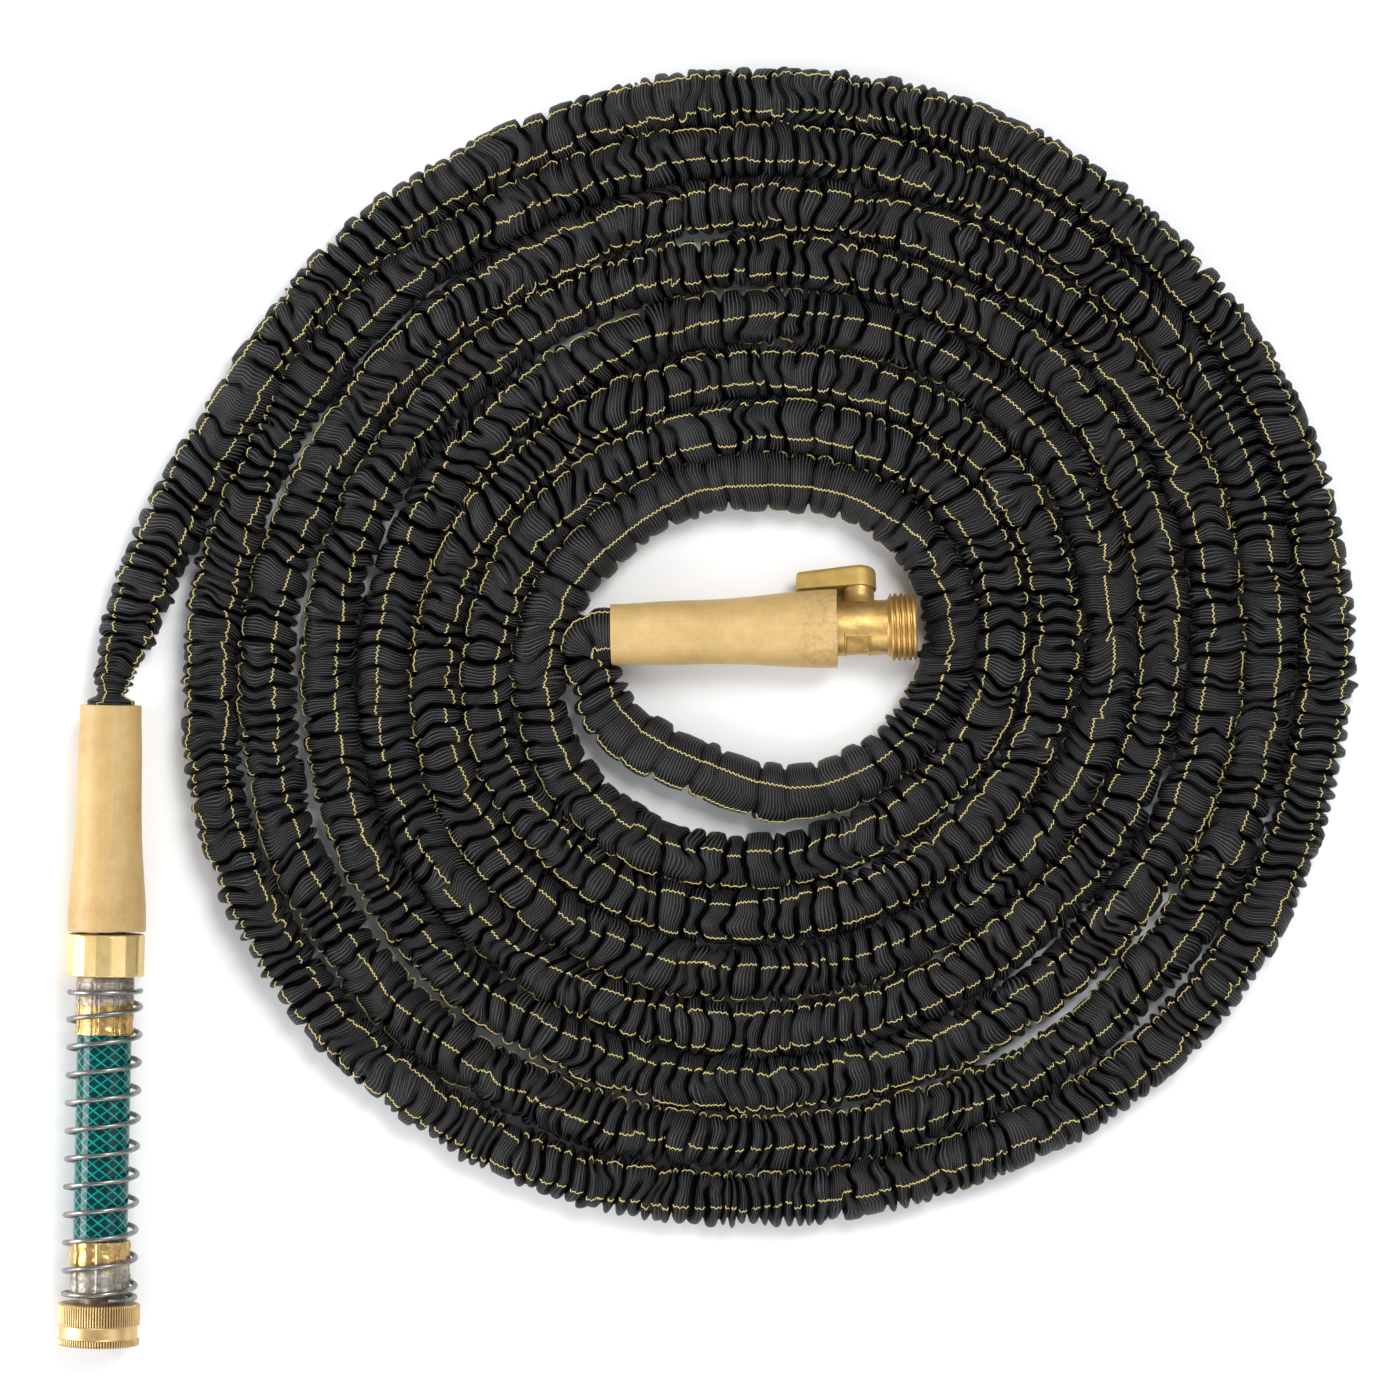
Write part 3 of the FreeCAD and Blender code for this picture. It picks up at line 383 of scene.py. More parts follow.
def lay_sheath(line, stations, radii, angles):
    """Points of the sheath round its line, eased inside the bends, swaying, and flattened by the floor."""
    place, _, side, up = line.axes(stations)
    spread = np.sin(angles) * (1.0 + SPREAD * np.clip(0.3 - np.cos(angles), 0.0, 1.0))
    out = radii[..., None] * (np.cos(angles)[None, :, None] * up * LOWNESS + spread[None, :, None] * side)
    bend = line.read(line.bends, stations)
    inward = (out * bend).sum(-1, keepdims=True)
    pushed = FREE_REACH + PUSHED_REACH * np.tanh((inward - FREE_REACH) / PUSHED_REACH)
    eased = np.where(inward > FREE_REACH, pushed, inward)
    out += bend * (eased - inward) / np.maximum((bend**2).sum(-1, keepdims=True), 1.0)
    sway = SWAY * wander(np.random.default_rng(SEED + 2), line.stations, SWAY_LENGTH)
    near_end = np.minimum(line.stations, line.length - line.stations)
    sway *= np.clip(near_end / SWAY_FADE - 0.5, 0.0, 1.0)
    points = place + out + side * np.interp(stations, line.stations, sway)[..., None]
    height, low = points[..., 2], FLATTENED_BELOW
    height = np.where(height < low, low * np.exp((height - low) / low), height)
    points[..., 2] = np.clip(height, LEAST_HEIGHT, None)
    points[0] = points[1] - line.headings[0] * TUCKED_END
    points[-1] += line.headings[-1] * TUCKED_END
    return points


def sheath_grid(line):
    """The gathered sheath as rings by segments.

    Gives its points, its segments' angles, how far along the cloth each ring is, how deep each point is pinched
    in a crease, and how tightly each ring is gathered."""
    rng = np.random.default_rng(SEED)
    even = np.linspace(-math.pi, math.pi, SEGMENTS, endpoint=False)
    angles = even - CROWDING * np.sin(even)
    base = fold_starts(rng, line.length)
    folds = np.arange(len(base), dtype=float)
    width = np.diff(base, append=base[-1] + base[-1] - base[-2])[:, None]
    gathered = np.interp(base, *zip(*GATHERING))[:, None]
    near_end = np.minimum(base, line.length - base)[:, None]

    closed = closed_creases(rng, folds, angles, gathered)
    slack = swirl(rng, base, 0.045, angles, 0, 2)
    opened = OPEN_SHARE + OPEN_CHANGE * swirl(rng, folds, 1.0, angles, 0, 4) + SLACK_CHANGE * slack
    opened = np.clip(opened, *OPEN_LIMITS) * (1.0 - CLOSED_LOSS * closed)
    crease = crease_stations(rng, base, width, closed, gathered, angles, near_end)
    crease = np.clip(crease, 0.0, line.length)

    side = np.abs(np.sin(angles))[None, :] ** 3
    depth = np.clip(DEPTH_SHARE * width, *DEPTH_LIMITS) * opened * (1.0 + 0.25 * side)
    depth *= gathered + (1.0 - gathered) * 0.45 * side
    depth *= fade_in(near_end - 0.0005, 0.012)
    crown = SMOOTH_SIDE_RISE * (1.0 - gathered) * side
    swell = SWELL * swirl(rng, folds, 1.0, angles, 0, 3)
    swell += LONG_SWELL * swirl(rng, base, 0.06, angles, 0, 2)
    crest = (swell + SIDE_RISE * side) * fade_in(near_end, 0.03)
    lean = LEAN * swirl(rng, base, 0.05, angles, 1, 2)

    stations, radii, pinches = fold_rings(crease, width, crest, depth, crown, lean)
    stations = np.concatenate([stations, crease[-1:]])
    radii = np.concatenate([radii, np.zeros((1, SEGMENTS))])
    radii = np.maximum(radii + body_radius(stations, line.length), LEAST_RADIUS)
    pinches = np.concatenate([pinches, pinches[:1]])
    points = lay_sheath(line, stations, radii, angles)

    # The cloth's length is measured over the part that is seen.
    seen = np.abs(angles) < 1.9
    travel = np.linalg.norm(np.diff(points[:, seen], axis=0), axis=-1).mean(1)
    cloth = np.concatenate([[0.0], np.cumsum(travel)])
    gathered = np.append(np.repeat(gathered[:-1, 0], FOLD_RINGS), 1.0)
    return points, angles, cloth, pinches, gathered


def finish_piece(name, mesh, body, smooth_angle=None):
    """A piece that rides on a CAD body."""
    mesh.validate()
    mesh.shade_smooth()
    if smooth_angle is not None:
        mesh.set_sharp_from_angle(angle=math.radians(smooth_angle))
    piece = new_object(name, mesh)
    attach(piece, body)
    return piece


def add_map(mesh, name, corner_uv):
    mesh.uv_layers.new(name=name).data.foreach_set("uv", corner_uv.astype(np.float32).ravel())


def quad_mesh(name, points, quads, corner_uv=None, uv_name="cloth"):
    """A mesh made from arrays of points and quads, with a UV in millimetres for each quad's corner."""
    mesh = bpy.data.meshes.new(name)
    mesh.vertices.add(len(points))
    mesh.vertices.foreach_set("co", points.astype(np.float32).ravel())
    mesh.loops.add(quads.size)
    mesh.loops.foreach_set("vertex_index", quads.astype(np.int32).ravel())
    mesh.polygons.add(len(quads))
    mesh.polygons.foreach_set("loop_start", np.arange(0, quads.size, 4, dtype=np.int32))
    mesh.update(calc_edges=True)
    if corner_uv is not None:
        add_map(mesh, uv_name, corner_uv)
    return mesh


def grid_quads(rings, segments):
    """Quads of a closed tube of rings, and the ring and segment number of each corner."""
    ring, segment = np.meshgrid(np.arange(rings - 1), np.arange(segments), indexing="ij")
    ring = np.stack([ring, ring, ring + 1, ring + 1], axis=-1).reshape(-1, 4)
    segment = np.stack([segment, segment + 1, segment + 1, segment], axis=-1).reshape(-1, 4)
    return ring * segments + segment % segments, ring, segment


# Millimetres round the cloth, and the depth in a crease that scales the painted shade there.
CLOTH_ROUND = 62.8
CREASE_SHADE_DEPTH = 4.0 * MM


def add_sheath(line, grid):
    points, angles, cloth, pinches, _ = grid
    quads, ring, segment = grid_quads(len(points), SEGMENTS)
    around = np.append(angles, math.pi + (math.pi + angles[0])) / math.tau
    uv = np.stack([around[segment] * CLOTH_ROUND, cloth[ring] / MM], axis=-1)
    mesh = quad_mesh("hose_sheath", points.reshape(-1, 3), quads, uv)
    # How deep each corner lies in a crease, which the finish turns into painted shade.
    crease_shade = pinches[ring, segment % SEGMENTS] / CREASE_SHADE_DEPTH
    add_map(mesh, "gather", np.stack([crease_shade, crease_shade], axis=-1))
    sheath = finish_piece("hose_sheath", mesh, "hose")
    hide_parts("hose_coil", "hose_tail")
    return sheath


# ---------------- tracer threads

TRACERS = 4
FIRST_TRACER = 0.25
# How far the tracers turn round the hose, and over what length of cloth: slowly, and quicker but less.
SLOW_TURN, SLOW_LENGTH = 0.9, 1.1
QUICK_TURN, QUICK_LENGTH = 0.22, 0.25
# How far they jump from fold to fold, and how much they slant on one.
FOLD_JOG = 0.08
FOLD_TILT = 0.16
STITCH = 0.475 * MM
STITCH_SWING = 0.42 * MM
THREAD_HALF_WIDTH = 0.20 * MM
# The thread's width at the ends of its swing, as a share of its width between them.
THREAD_NARROWS = 0.65
THREAD_LIFT = 0.30 * MM
# How far the thread sinks out of sight where two folds pinch it, and the depths in a crease over which it does.
THREAD_SINK = 0.7 * MM
PINCH_START = 1.45 * MM
PINCH_RANGE = 0.6 * MM
# The swing of the thread at each quarter of its zigzag.
ZIGZAG = (0.0, 1.0, 0.0, -1.0)


def add_tracers(grid):
    """Four zigzag threads woven along the sheath, which turn slowly round it."""
    points, _, cloth, pinches, gathered = grid
    rng = np.random.default_rng(SEED + 1)
    normals = np.cross(np.roll(points, -1, axis=1) - np.roll(points, 1, axis=1), np.gradient(points, axis=0))
    middle = points.mean(1, keepdims=True)
    normals *= np.sign(((points - middle) * normals).sum(-1, keepdims=True))
    normals = unit(normals)
    along = np.arange(2 * STITCH, cloth[-1] - 2 * STITCH, STITCH)
    ring = np.interp(along, cloth, np.arange(len(cloth)))
    turn = SLOW_TURN * wander(rng, along, SLOW_LENGTH) + QUICK_TURN * wander(rng, along, QUICK_LENGTH)
    even = np.linspace(-math.pi, math.pi, 721)
    spread = even - CROWDING * np.sin(even)
    fold = np.floor((ring + 1.0) / FOLD_RINGS).astype(int)
    quarter = np.arange(len(along)) % len(ZIGZAG)
    swing = np.take(ZIGZAG, quarter) * STITCH_SWING / HOSE_RADIUS
    width = np.where(quarter % 2 == 0, 1.0, THREAD_NARROWS)[:, None] * THREAD_HALF_WIDTH
    all_points, all_quads = [], []
    for index in range(TRACERS):
        jog = FOLD_JOG * rng.normal(size=fold.max() + 1)[fold]
        jog += FOLD_TILT * rng.normal(size=fold.max() + 1)[fold] * ((ring + 1.0) / FOLD_RINGS - fold - 0.5)
        jog *= np.interp(ring, np.arange(len(gathered)), gathered)
        angle = FIRST_TRACER + index * math.tau / TRACERS + turn + swing + jog
        angle = (angle + math.pi) % math.tau - math.pi
        segment = (np.interp(angle, spread, even) + math.pi) / math.tau * SEGMENTS
        track, up = sample(points, ring, segment), unit(sample(normals, ring, segment))
        across = unit(np.cross(np.gradient(track, axis=0), up)) * width
        pinch = sample(pinches[..., None], ring, segment)
        track = track - up * THREAD_SINK * np.clip((pinch - PINCH_START) / PINCH_RANGE, 0.0, 1.0)
        start = sum(len(p) for p in all_points)
        all_points += [track - across, track + up * THREAD_LIFT, track + across]
        count = len(track)
        for row in range(2):
            first = start + row * count + np.arange(count - 1)
            all_quads.append(np.stack([first, first + 1, first + 1 + count, first + count], axis=-1))
    mesh = quad_mesh("tracer_threads", np.concatenate(all_points), np.concatenate(all_quads))
    return finish_piece("tracer_threads", mesh, "hose")


def sample(table, ring, segment):
    """Values read between the rings and segments of a grid."""
    row = np.clip(np.floor(ring).astype(int), 0, len(table) - 2)
    column = np.floor(segment).astype(int)
    down = (ring - row)[:, None]
    over = (segment - column)[:, None]
    column, beside = column % SEGMENTS, (column + 1) % SEGMENTS
    first = table[row, column] * (1 - over) + table[row, beside] * over
    second = table[row + 1, column] * (1 - over) + table[row + 1, beside] * over
    return first * (1 - down) + second * down


# ---------------- materials

# A colour Mix node's factor and two colours among its inputs, and its colour among its outputs.
MIX_INPUTS = (0, 6, 7)
MIX_OUTPUT = 2


def socket_name(name):
    return name.replace("_", " ").title().replace("Ior", "IOR")


class Finish:
    """A material under construction: its node tree and short ways to add to it."""

    def __init__(self, name, **surface):
        self.material = bpy.data.materials.new(name)
        self.material.use_nodes = True
        self.tree = self.material.node_tree
        self.shader = self.tree.nodes["Principled BSDF"]
        for name, value in surface.items():
            self.shader.inputs[socket_name(name)].default_value = value

    def fill(self, socket, value):
        """Links a computed value to a socket, or sets the socket to a number or colour."""
        if isinstance(value, bpy.types.NodeSocket):
            self.tree.links.new(value, socket)
        elif value is not None:
            socket.default_value = value

    def add(self, kind, *inputs, **settings):
        """A node with its inputs filled in order."""
        node = self.tree.nodes.new(f"ShaderNode{kind}")
        for name, value in settings.items():
            setattr(node, name, value)
        for socket, value in zip(node.inputs, inputs):
            self.fill(socket, value)
        return node

    def maths(self, operation, *values):
        return self.add("Math", *values, operation=operation).outputs[0]

    def uv(self, name="surface"):
        return self.add("UVMap", uv_map=name).outputs["UV"]

    def parts(self, vector):
        """The first and second numbers of a vector, here millimetres round a piece and along it."""
        return self.add("SeparateXYZ", vector).outputs[:2]

    def wave(self, value, period, phase=0.0):
        """A sine of the value with this period, from 0 to 1."""
        angle = self.maths("MULTIPLY_ADD", value, math.tau / period, phase)
        return self.maths("MULTIPLY_ADD", self.maths("SINE", angle), 0.5, 0.5)

    def noise(self, scale, detail=3.0, roughness=0.55, vector=None, stretch=None):
        if vector is None:
            vector = self.add("TexCoord").outputs["Object"]
        if stretch:
            vector = self.add("Mapping", vector, None, None, stretch).outputs[0]
        node = self.add("TexNoise", vector)
        for name, value in (("Scale", scale), ("Detail", detail), ("Roughness", roughness)):
            node.inputs[name].default_value = value
        return node.outputs["Fac"]

    def ramp(self, value, *stops):
        """A colour ramp with stops given as (place, grey or colour)."""
        node = self.add("ValToRGB", value)
        elements = node.color_ramp.elements
        while len(elements) < len(stops):
            elements.new(0.5)
        for element, (place, colour) in zip(elements, stops):
            element.position = place
            element.color = (*colour, 1.0) if isinstance(colour, tuple) else (colour, colour, colour, 1.0)
        return node.outputs["Color"]

    def mix(self, factor, first, second, blend="MIX"):
        node = self.add("Mix", data_type="RGBA", blend_type=blend)
        for index, value in zip(MIX_INPUTS, (factor, first, second)):
            self.fill(node.inputs[index], (*value, 1.0) if isinstance(value, tuple) else value)
        return node.outputs[MIX_OUTPUT]

    def shade(self, colour, grey, share=1.0):
        """The colour multiplied by a grey."""
        return self.mix(share, colour, grey, "MULTIPLY")

    def bump(self, height, distance, strength=1.0):
        node = self.add("Bump")
        node.inputs["Strength"].default_value = strength
        node.inputs["Distance"].default_value = distance
        self.fill(node.inputs["Height"], height)
        return node.outputs["Normal"]

    def drive(self, **sockets):
        """Links computed values to the shader."""
        for name, value in sockets.items():
            self.fill(self.shader.inputs[socket_name(name)], value)
        return self.material


# Millimetres from one cross rib of the sheath to the next, and from one warp thread to the next.
RIB_PITCH = 1.18
WARP_PITCH = 0.66


def sheath_finish():
    """Black woven polyester: shiny cross ribs, their tops brightened by a painted highlight, with finer threads
    over them, a little dusty; painted shade in the grooves and creases.
    """
    finish = Finish("black_woven_sheath", roughness=0.42, specular_ior_level=0.22)
    across, along = finish.parts(finish.uv("cloth"))
    rib = finish.wave(along, RIB_PITCH)
    row = finish.maths("FLOOR", finish.maths("DIVIDE", along, RIB_PITCH))
    warp = finish.wave(finish.maths("MULTIPLY_ADD", row, WARP_PITCH / 2, across), WARP_PITCH)
    weave = finish.maths("MULTIPLY", rib, finish.maths("MULTIPLY_ADD", warp, 0.42, 0.58))
    # Over the weave's own pattern, the ramp paints the ribs' tops bright as a painted highlight and the grooves
    # between them near black as painted shade.
    colour = finish.ramp(
        weave,
        (0.15, (0.0006, 0.0006, 0.0008)),
        (0.47, (0.0021, 0.0021, 0.0026)),
        (0.72, (0.025, 0.025, 0.027)),
        (1.0, (0.210, 0.211, 0.218)),
    )
    colour = finish.shade(colour, finish.ramp(finish.noise(900.0, 2.0), (0.30, 0.65), (0.70, 1.0)))
    colour = finish.shade(colour, finish.ramp(finish.noise(45.0, 4.0), (0.35, 0.7), (0.65, 1.0)))
    # Creases are painted dark, a painted shade, and reflect less.
    crease_shade = finish.parts(finish.uv("gather"))[0]
    colour = finish.shade(colour, finish.ramp(crease_shade, (0.12, 1.0), (0.40, 0.55), (0.70, 0.14)))
    sheen = finish.ramp(crease_shade, (0.15, 0.24), (0.60, 0.03))
    return finish.drive(base_color=colour, specular_ior_level=sheen, normal=finish.bump(weave, 0.0004))


def tracer_finish():
    finish = Finish("yellow_tracer_thread", roughness=0.5)
    grain = finish.noise(2500.0, 2.0)
    colour = finish.ramp(grain, (0.3, (0.58, 0.44, 0.11)), (0.7, (0.93, 0.80, 0.32)))
    return finish.drive(base_color=colour, normal=finish.bump(grain, 0.0001, 0.5))


RUBBER_SHADES = ((0.25, (0.50, 0.325, 0.118)), (0.55, (0.60, 0.405, 0.158)), (0.8, (0.67, 0.47, 0.205)))
DIRT = (0.22, 0.13, 0.05)
HANDLING = (0.27, 0.135, 0.045)


def rubber_finish(name, handled_share, tone):
    """Tan moulded rubber, mottled and a little dirty, with faint streaks along it and a handled wide end."""
    finish = Finish(name, roughness=0.48, specular_ior_level=0.42)
    place = finish.uv()
    clouds = finish.noise(38.0, 4.0)
    streaks = finish.noise(0.55, 3.0, 0.6, place, (1.0, 0.05, 1.0))
    blotches = finish.noise(160.0, 5.0, 0.7)
    specks = finish.noise(1100.0, 2.0, 0.6)
    shades = [(stop, tuple(tone * part for part in shade)) for stop, shade in RUBBER_SHADES]
    colour = finish.ramp(clouds, *shades)
    colour = finish.shade(colour, finish.ramp(streaks, (0.3, 0.86), (0.7, 1.08)), 0.4)
    colour = finish.shade(colour, finish.ramp(blotches, (0.25, 0.84), (0.6, 1.04)), 0.8)
    dirty = finish.ramp(specks, (0.64, 0.0), (0.72, 1.0))
    dirty = finish.maths("MULTIPLY", dirty, finish.ramp(clouds, (0.45, 0.0), (0.7, 0.8)))
    colour = finish.mix(dirty, colour, DIRT)
    wide_end = finish.maths("MULTIPLY", finish.parts(place)[1], 0.01)
    handled = finish.ramp(wide_end, (0.55, 0.0), (0.78, 1.0))
    handled = finish.maths("MULTIPLY", handled, finish.noise(330.0, 5.0, 0.75))
    colour = finish.mix(finish.ramp(handled, (0.44, 0.0), (0.70, handled_share)), colour, HANDLING)
    bump = finish.bump(finish.noise(900.0, 4.0, 0.65), 0.00016, 0.35)
    return finish.drive(base_color=colour, normal=bump)


def brass_finish(name, dark, light, grain, rough, strength, metallic=0.8, knurled=False):
    """Brass with a cast or machined skin: grainy, a little tarnished in places."""
    finish = Finish(name, metallic=metallic)
    clouds = finish.noise(120.0, 4.0, 0.6)
    fine = finish.noise(grain, 4.0, 0.65)
    pits = finish.noise(grain * 0.45, 2.0, 0.5)
    colour = finish.ramp(clouds, (0.3, dark), (0.72, light))
    colour = finish.shade(colour, finish.ramp(fine, (0.25, 0.78), (0.7, 1.1)), 0.7)
    # Knurled nuts get painted shade in their grooves.
    if knurled:
        colour = darken_knurls(finish, colour)
    height = finish.maths("ADD", fine, finish.maths("MULTIPLY", pits, 0.8))
    roughness = finish.ramp(fine, (0.2, rough[0]), (0.8, rough[1]))
    return finish.drive(base_color=colour, roughness=roughness, normal=finish.bump(height, 0.00012, strength))


# The tap nut's knurls, and the plain band between them along the nut's outline.
KNURLS = 92
NUT_RIM = 16.4
KNURL_PITCH = math.tau * NUT_RIM / KNURLS
PLAIN_BAND_MIDDLE = 258.45
PLAIN_BAND_HALF = 2.9


def darken_knurls(finish, colour):
    """The colour with painted shade in the grooves of the two knurled bands."""
    turned, station = finish.parts(finish.uv())
    groove = finish.ramp(finish.wave(turned, KNURL_PITCH, -math.pi / 2), (0.05, 0.30), (0.55, 1.0))
    away = finish.maths("ABSOLUTE", finish.maths("SUBTRACT", station, PLAIN_BAND_MIDDLE))
    knurled = finish.maths("GREATER_THAN", away, PLAIN_BAND_HALF)
    return finish.mix(knurled, colour, finish.shade(colour, groove))


def plated_finish(name, grey_from, brass_from):
    """Polished brass at one end of a ferrule and dull, stained plating at the other, between two stations."""
    finish = Finish(name, metallic=0.9)
    station = finish.parts(finish.uv())[1]
    worn = finish.noise(190.0, 5.0, 0.7)
    stains = finish.noise(420.0, 4.0, 0.65)
    fine = finish.noise(1500.0, 4.0, 0.6)
    dull = ((0.35, (0.26, 0.17, 0.085)), (0.48, (0.30, 0.265, 0.22)), (0.62, (0.42, 0.41, 0.39)))
    gold = ((0.3, (0.36, 0.21, 0.065)), (0.5, (0.52, 0.34, 0.125)), (0.7, (0.66, 0.46, 0.20)))
    along = finish.maths("DIVIDE", finish.maths("SUBTRACT", station, grey_from), brass_from - grey_from)
    edge = finish.maths("MULTIPLY_ADD", finish.maths("SUBTRACT", worn, 0.5), 1.6, along)
    brass = finish.ramp(edge, (0.42, 0.0), (0.58, 1.0))
    colour = finish.mix(brass, finish.ramp(stains, *dull), finish.ramp(stains, *gold))
    colour = finish.shade(colour, finish.ramp(fine, (0.3, 0.7), (0.65, 1.05)), 0.35)
    roughness = finish.ramp(brass, (0.0, 0.55), (1.0, 0.36))
    return finish.drive(base_color=colour, roughness=roughness, normal=finish.bump(stains, 0.00012, 0.12))


def steel_finish():
    """Drawn spring wire, dulled by use."""
    finish = Finish("spring_wire", metallic=1.0)
    clouds = finish.noise(220.0, 5.0, 0.7)
    fine = finish.noise(2200.0, 3.0, 0.6)
    shades = ((0.3, (0.13, 0.128, 0.12)), (0.55, (0.28, 0.275, 0.26)), (0.8, (0.42, 0.41, 0.39)))
    colour = finish.ramp(clouds, *shades)
    roughness = finish.ramp(clouds, (0.25, 0.42), (0.75, 0.24))
    return finish.drive(base_color=colour, roughness=roughness, normal=finish.bump(fine, 0.00008, 0.35))


# The green cover's braid: threads each way round it, and how far along a thread moves over by one spacing.
BRAID_STRANDS = 12
BRAID_RISE = 4.25
COVER_RADIUS = 10.85


def cover_finish():
    """Glossy green PVC: bright braid threads that cross over a dark inner layer."""
    finish = Finish("braided_green_pvc", roughness=0.08, specular_ior_level=0.24)
    turned, station = finish.parts(finish.uv())
    around = finish.maths("DIVIDE", turned, math.tau * COVER_RADIUS / BRAID_STRANDS)
    along = finish.maths("DIVIDE", station, BRAID_RISE)
    threads = []
    for operation in ("ADD", "SUBTRACT"):
        phase = finish.maths("FRACT", finish.maths(operation, around, along))
        part = finish.maths("ABSOLUTE", finish.maths("SUBTRACT", phase, 0.5))
        threads.append(finish.ramp(part, (0.395, 0.0), (0.435, 1.0)))
    braid = finish.maths("MAXIMUM", threads[0], finish.maths("MULTIPLY", threads[1], 0.7))
    clouds = finish.noise(300.0, 3.0)
    under = finish.ramp(clouds, (0.3, (0.0003, 0.018, 0.028)), (0.7, (0.0005, 0.040, 0.052)))
    bright = finish.ramp(clouds, (0.3, (0.0008, 0.22, 0.165)), (0.7, (0.003, 0.38, 0.29)))
    colour = finish.mix(braid, under, bright)
    return finish.drive(base_color=colour, normal=finish.bump(finish.noise(350.0, 2.0), 0.0003, 0.12))


def plain_finish(name, dark, light, scale, bump=0.3, **surface):
    """A plain moulded or machined surface with fine grain and slight colour variation."""
    finish = Finish(name, **surface)
    grain = finish.noise(scale, 4.0, 0.6)
    colour = finish.ramp(grain, (0.3, dark), (0.7, light))
    return finish.drive(base_color=colour, normal=finish.bump(grain, 0.0001, bump))


def grey(value):
    return (value, value, value)


def wear(piece, material):
    piece.data.materials.clear()
    piece.data.materials.append(material)


# Plain finishes of CAD nodes: name, dark, light, grain, bump, roughness, metallic, and the nodes.
CAD_FINISHES = [
    ("latex_tube", (0.62, 0.47, 0.25), (0.74, 0.60, 0.36), 400.0, 0.3, 0.45, 0.0,
     "outlet_tube_end inlet_tube_end"),
    ("sheath_cuff", (0.012, 0.012, 0.013), (0.06, 0.06, 0.062), 1800.0, 0.8, 0.7, 0.0,
     "outlet_sheath_cuff inlet_sheath_cuff"),
    ("black_plastic", grey(0.012), grey(0.03), 900.0, 0.3, 0.4, 0.0, "outlet_collar inlet_collar"),
    ("black_rubber", grey(0.010), grey(0.028), 900.0, 0.3, 0.6, 0.0, "stem_o_rings inlet_washer tap_washer"),
    ("white_seat_plastic", (0.72, 0.72, 0.69), (0.84, 0.84, 0.81), 500.0, 0.3, 0.35, 0.0,
     "valve_seat_rear valve_seat_front stem_thrust_washer"),
    ("chromed_ball", (0.62, 0.62, 0.63), (0.74, 0.74, 0.75), 300.0, 0.05, 0.10, 1.0, "valve_ball"),
    ("clear_liner", (0.24, 0.42, 0.36), (0.34, 0.54, 0.46), 400.0, 0.3, 0.2, 0.0, "leader_liner"),
    ("stained_plating", (0.16, 0.11, 0.06), (0.33, 0.31, 0.28), 420.0, 0.3, 0.55, 0.9,
     "inlet_barb leader_male_end leader_tail"),
]


def finish_cad_nodes(brass):
    """Procedural finishes for the CAD nodes that stay as they are, most of them sealed inside."""
    worn = [(steel_finish(), "leader_spring"), (brass, "outlet_barb valve_stem")]
    for name, dark, light, scale, bump, roughness, metallic, nodes in CAD_FINISHES:
        material = plain_finish(name, dark, light, scale, bump, roughness=roughness, metallic=metallic)
        worn.append((material, nodes))
    for material, nodes in worn:
        for node in nodes.split():
            for material_slot in frame["nodes"][node].material_slots:
                material_slot.material = material


# ---------------- turned fittings

def vector(values):
    return np.array(values, float)


class Axis:
    """A fitting's own frame: Z along the pipe from the sleeve's mouth, Y towards the stem or straight up."""

    def __init__(self, origin, along, upward):
        z = unit(vector(along))
        y = unit(vector(upward) - z * np.dot(vector(upward), z))
        self.turn = np.stack([np.cross(y, z), y, z])
        self.origin = vector(origin)

    def world(self, points):
        """Points in the fitting's millimetres, taken to the model's frame."""
        return self.origin + (np.asarray(points, float) * MM) @ self.turn


mounts = {mount["name"]: mount for mount in frame["record"]["mounts"]}
joints = {joint["name"]: joint for joint in frame["joints"]}
# Stations of the two threads' mounts along their fittings.
OUTLET_MOUNT_STATION = 116.3
INLET_MOUNT_STATION = 251.7


def fitting_axis(mount, station, upward):
    along = vector(mounts[mount]["axis"])
    return Axis(vector(mounts[mount]["pos_m"]) - along * station * MM, along, upward)


stem_way = vector(joints["valve_lever"]["axis"])
outlet = fitting_axis("outlet_thread", OUTLET_MOUNT_STATION, stem_way)
inlet = fitting_axis("inlet_thread", INLET_MOUNT_STATION, UP)
stem = Axis(joints["valve_lever"]["pos_m"], stem_way, np.cross(stem_way, outlet.turn[2]))


def turned(axis, outline, facets, shape=None):
    """The points, quads and UVs of a closed outline of (radius, station), turned about the axis.

    The outline is in order round the section. shape(radius, station, angle) may move the points of each ring."""
    radius, station = (vector(column)[:, None] for column in zip(*outline))
    angle = np.linspace(0.0, math.tau, facets, endpoint=False)[None, :]
    radius, station = np.broadcast_arrays(radius, station)
    radius = np.repeat(radius, facets, axis=1)
    station = np.repeat(station, facets, axis=1)
    if shape is not None:
        radius, station = shape(radius, station, angle)
    points = np.stack([radius * np.cos(angle), radius * np.sin(angle), station], axis=-1)
    closed = np.concatenate([points, points[:1]])
    quads, ring, segment = grid_quads(len(closed), facets)
    quads = quads % (len(points) * facets)
    round_way = math.tau * segment / facets * np.maximum(radius.max(), 1.0)
    steps = np.linalg.norm(np.diff(closed[:, 0], axis=0), axis=1)
    travel = np.concatenate([[0.0], np.cumsum(steps)]) + station[0, 0]
    uv = np.stack([round_way, travel[ring]], axis=-1)
    return axis.world(points.reshape(-1, 3)), quads[:, ::-1], uv[:, ::-1]


def add_fitting(name, node, body, slot, sharp, *surfaces):
    """One piece made of closed surfaces, in place of a CAD node."""
    points, quads, uvs = zip(*surfaces)
    starts = np.cumsum([0] + [len(part) for part in points[:-1]])
    quads = np.concatenate([part + start for part, start in zip(quads, starts)])
    mesh = quad_mesh(name, np.concatenate(points), quads, np.concatenate(uvs), "surface")
    piece = finish_piece(name, mesh, body, sharp)
    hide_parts(node)
    return piece


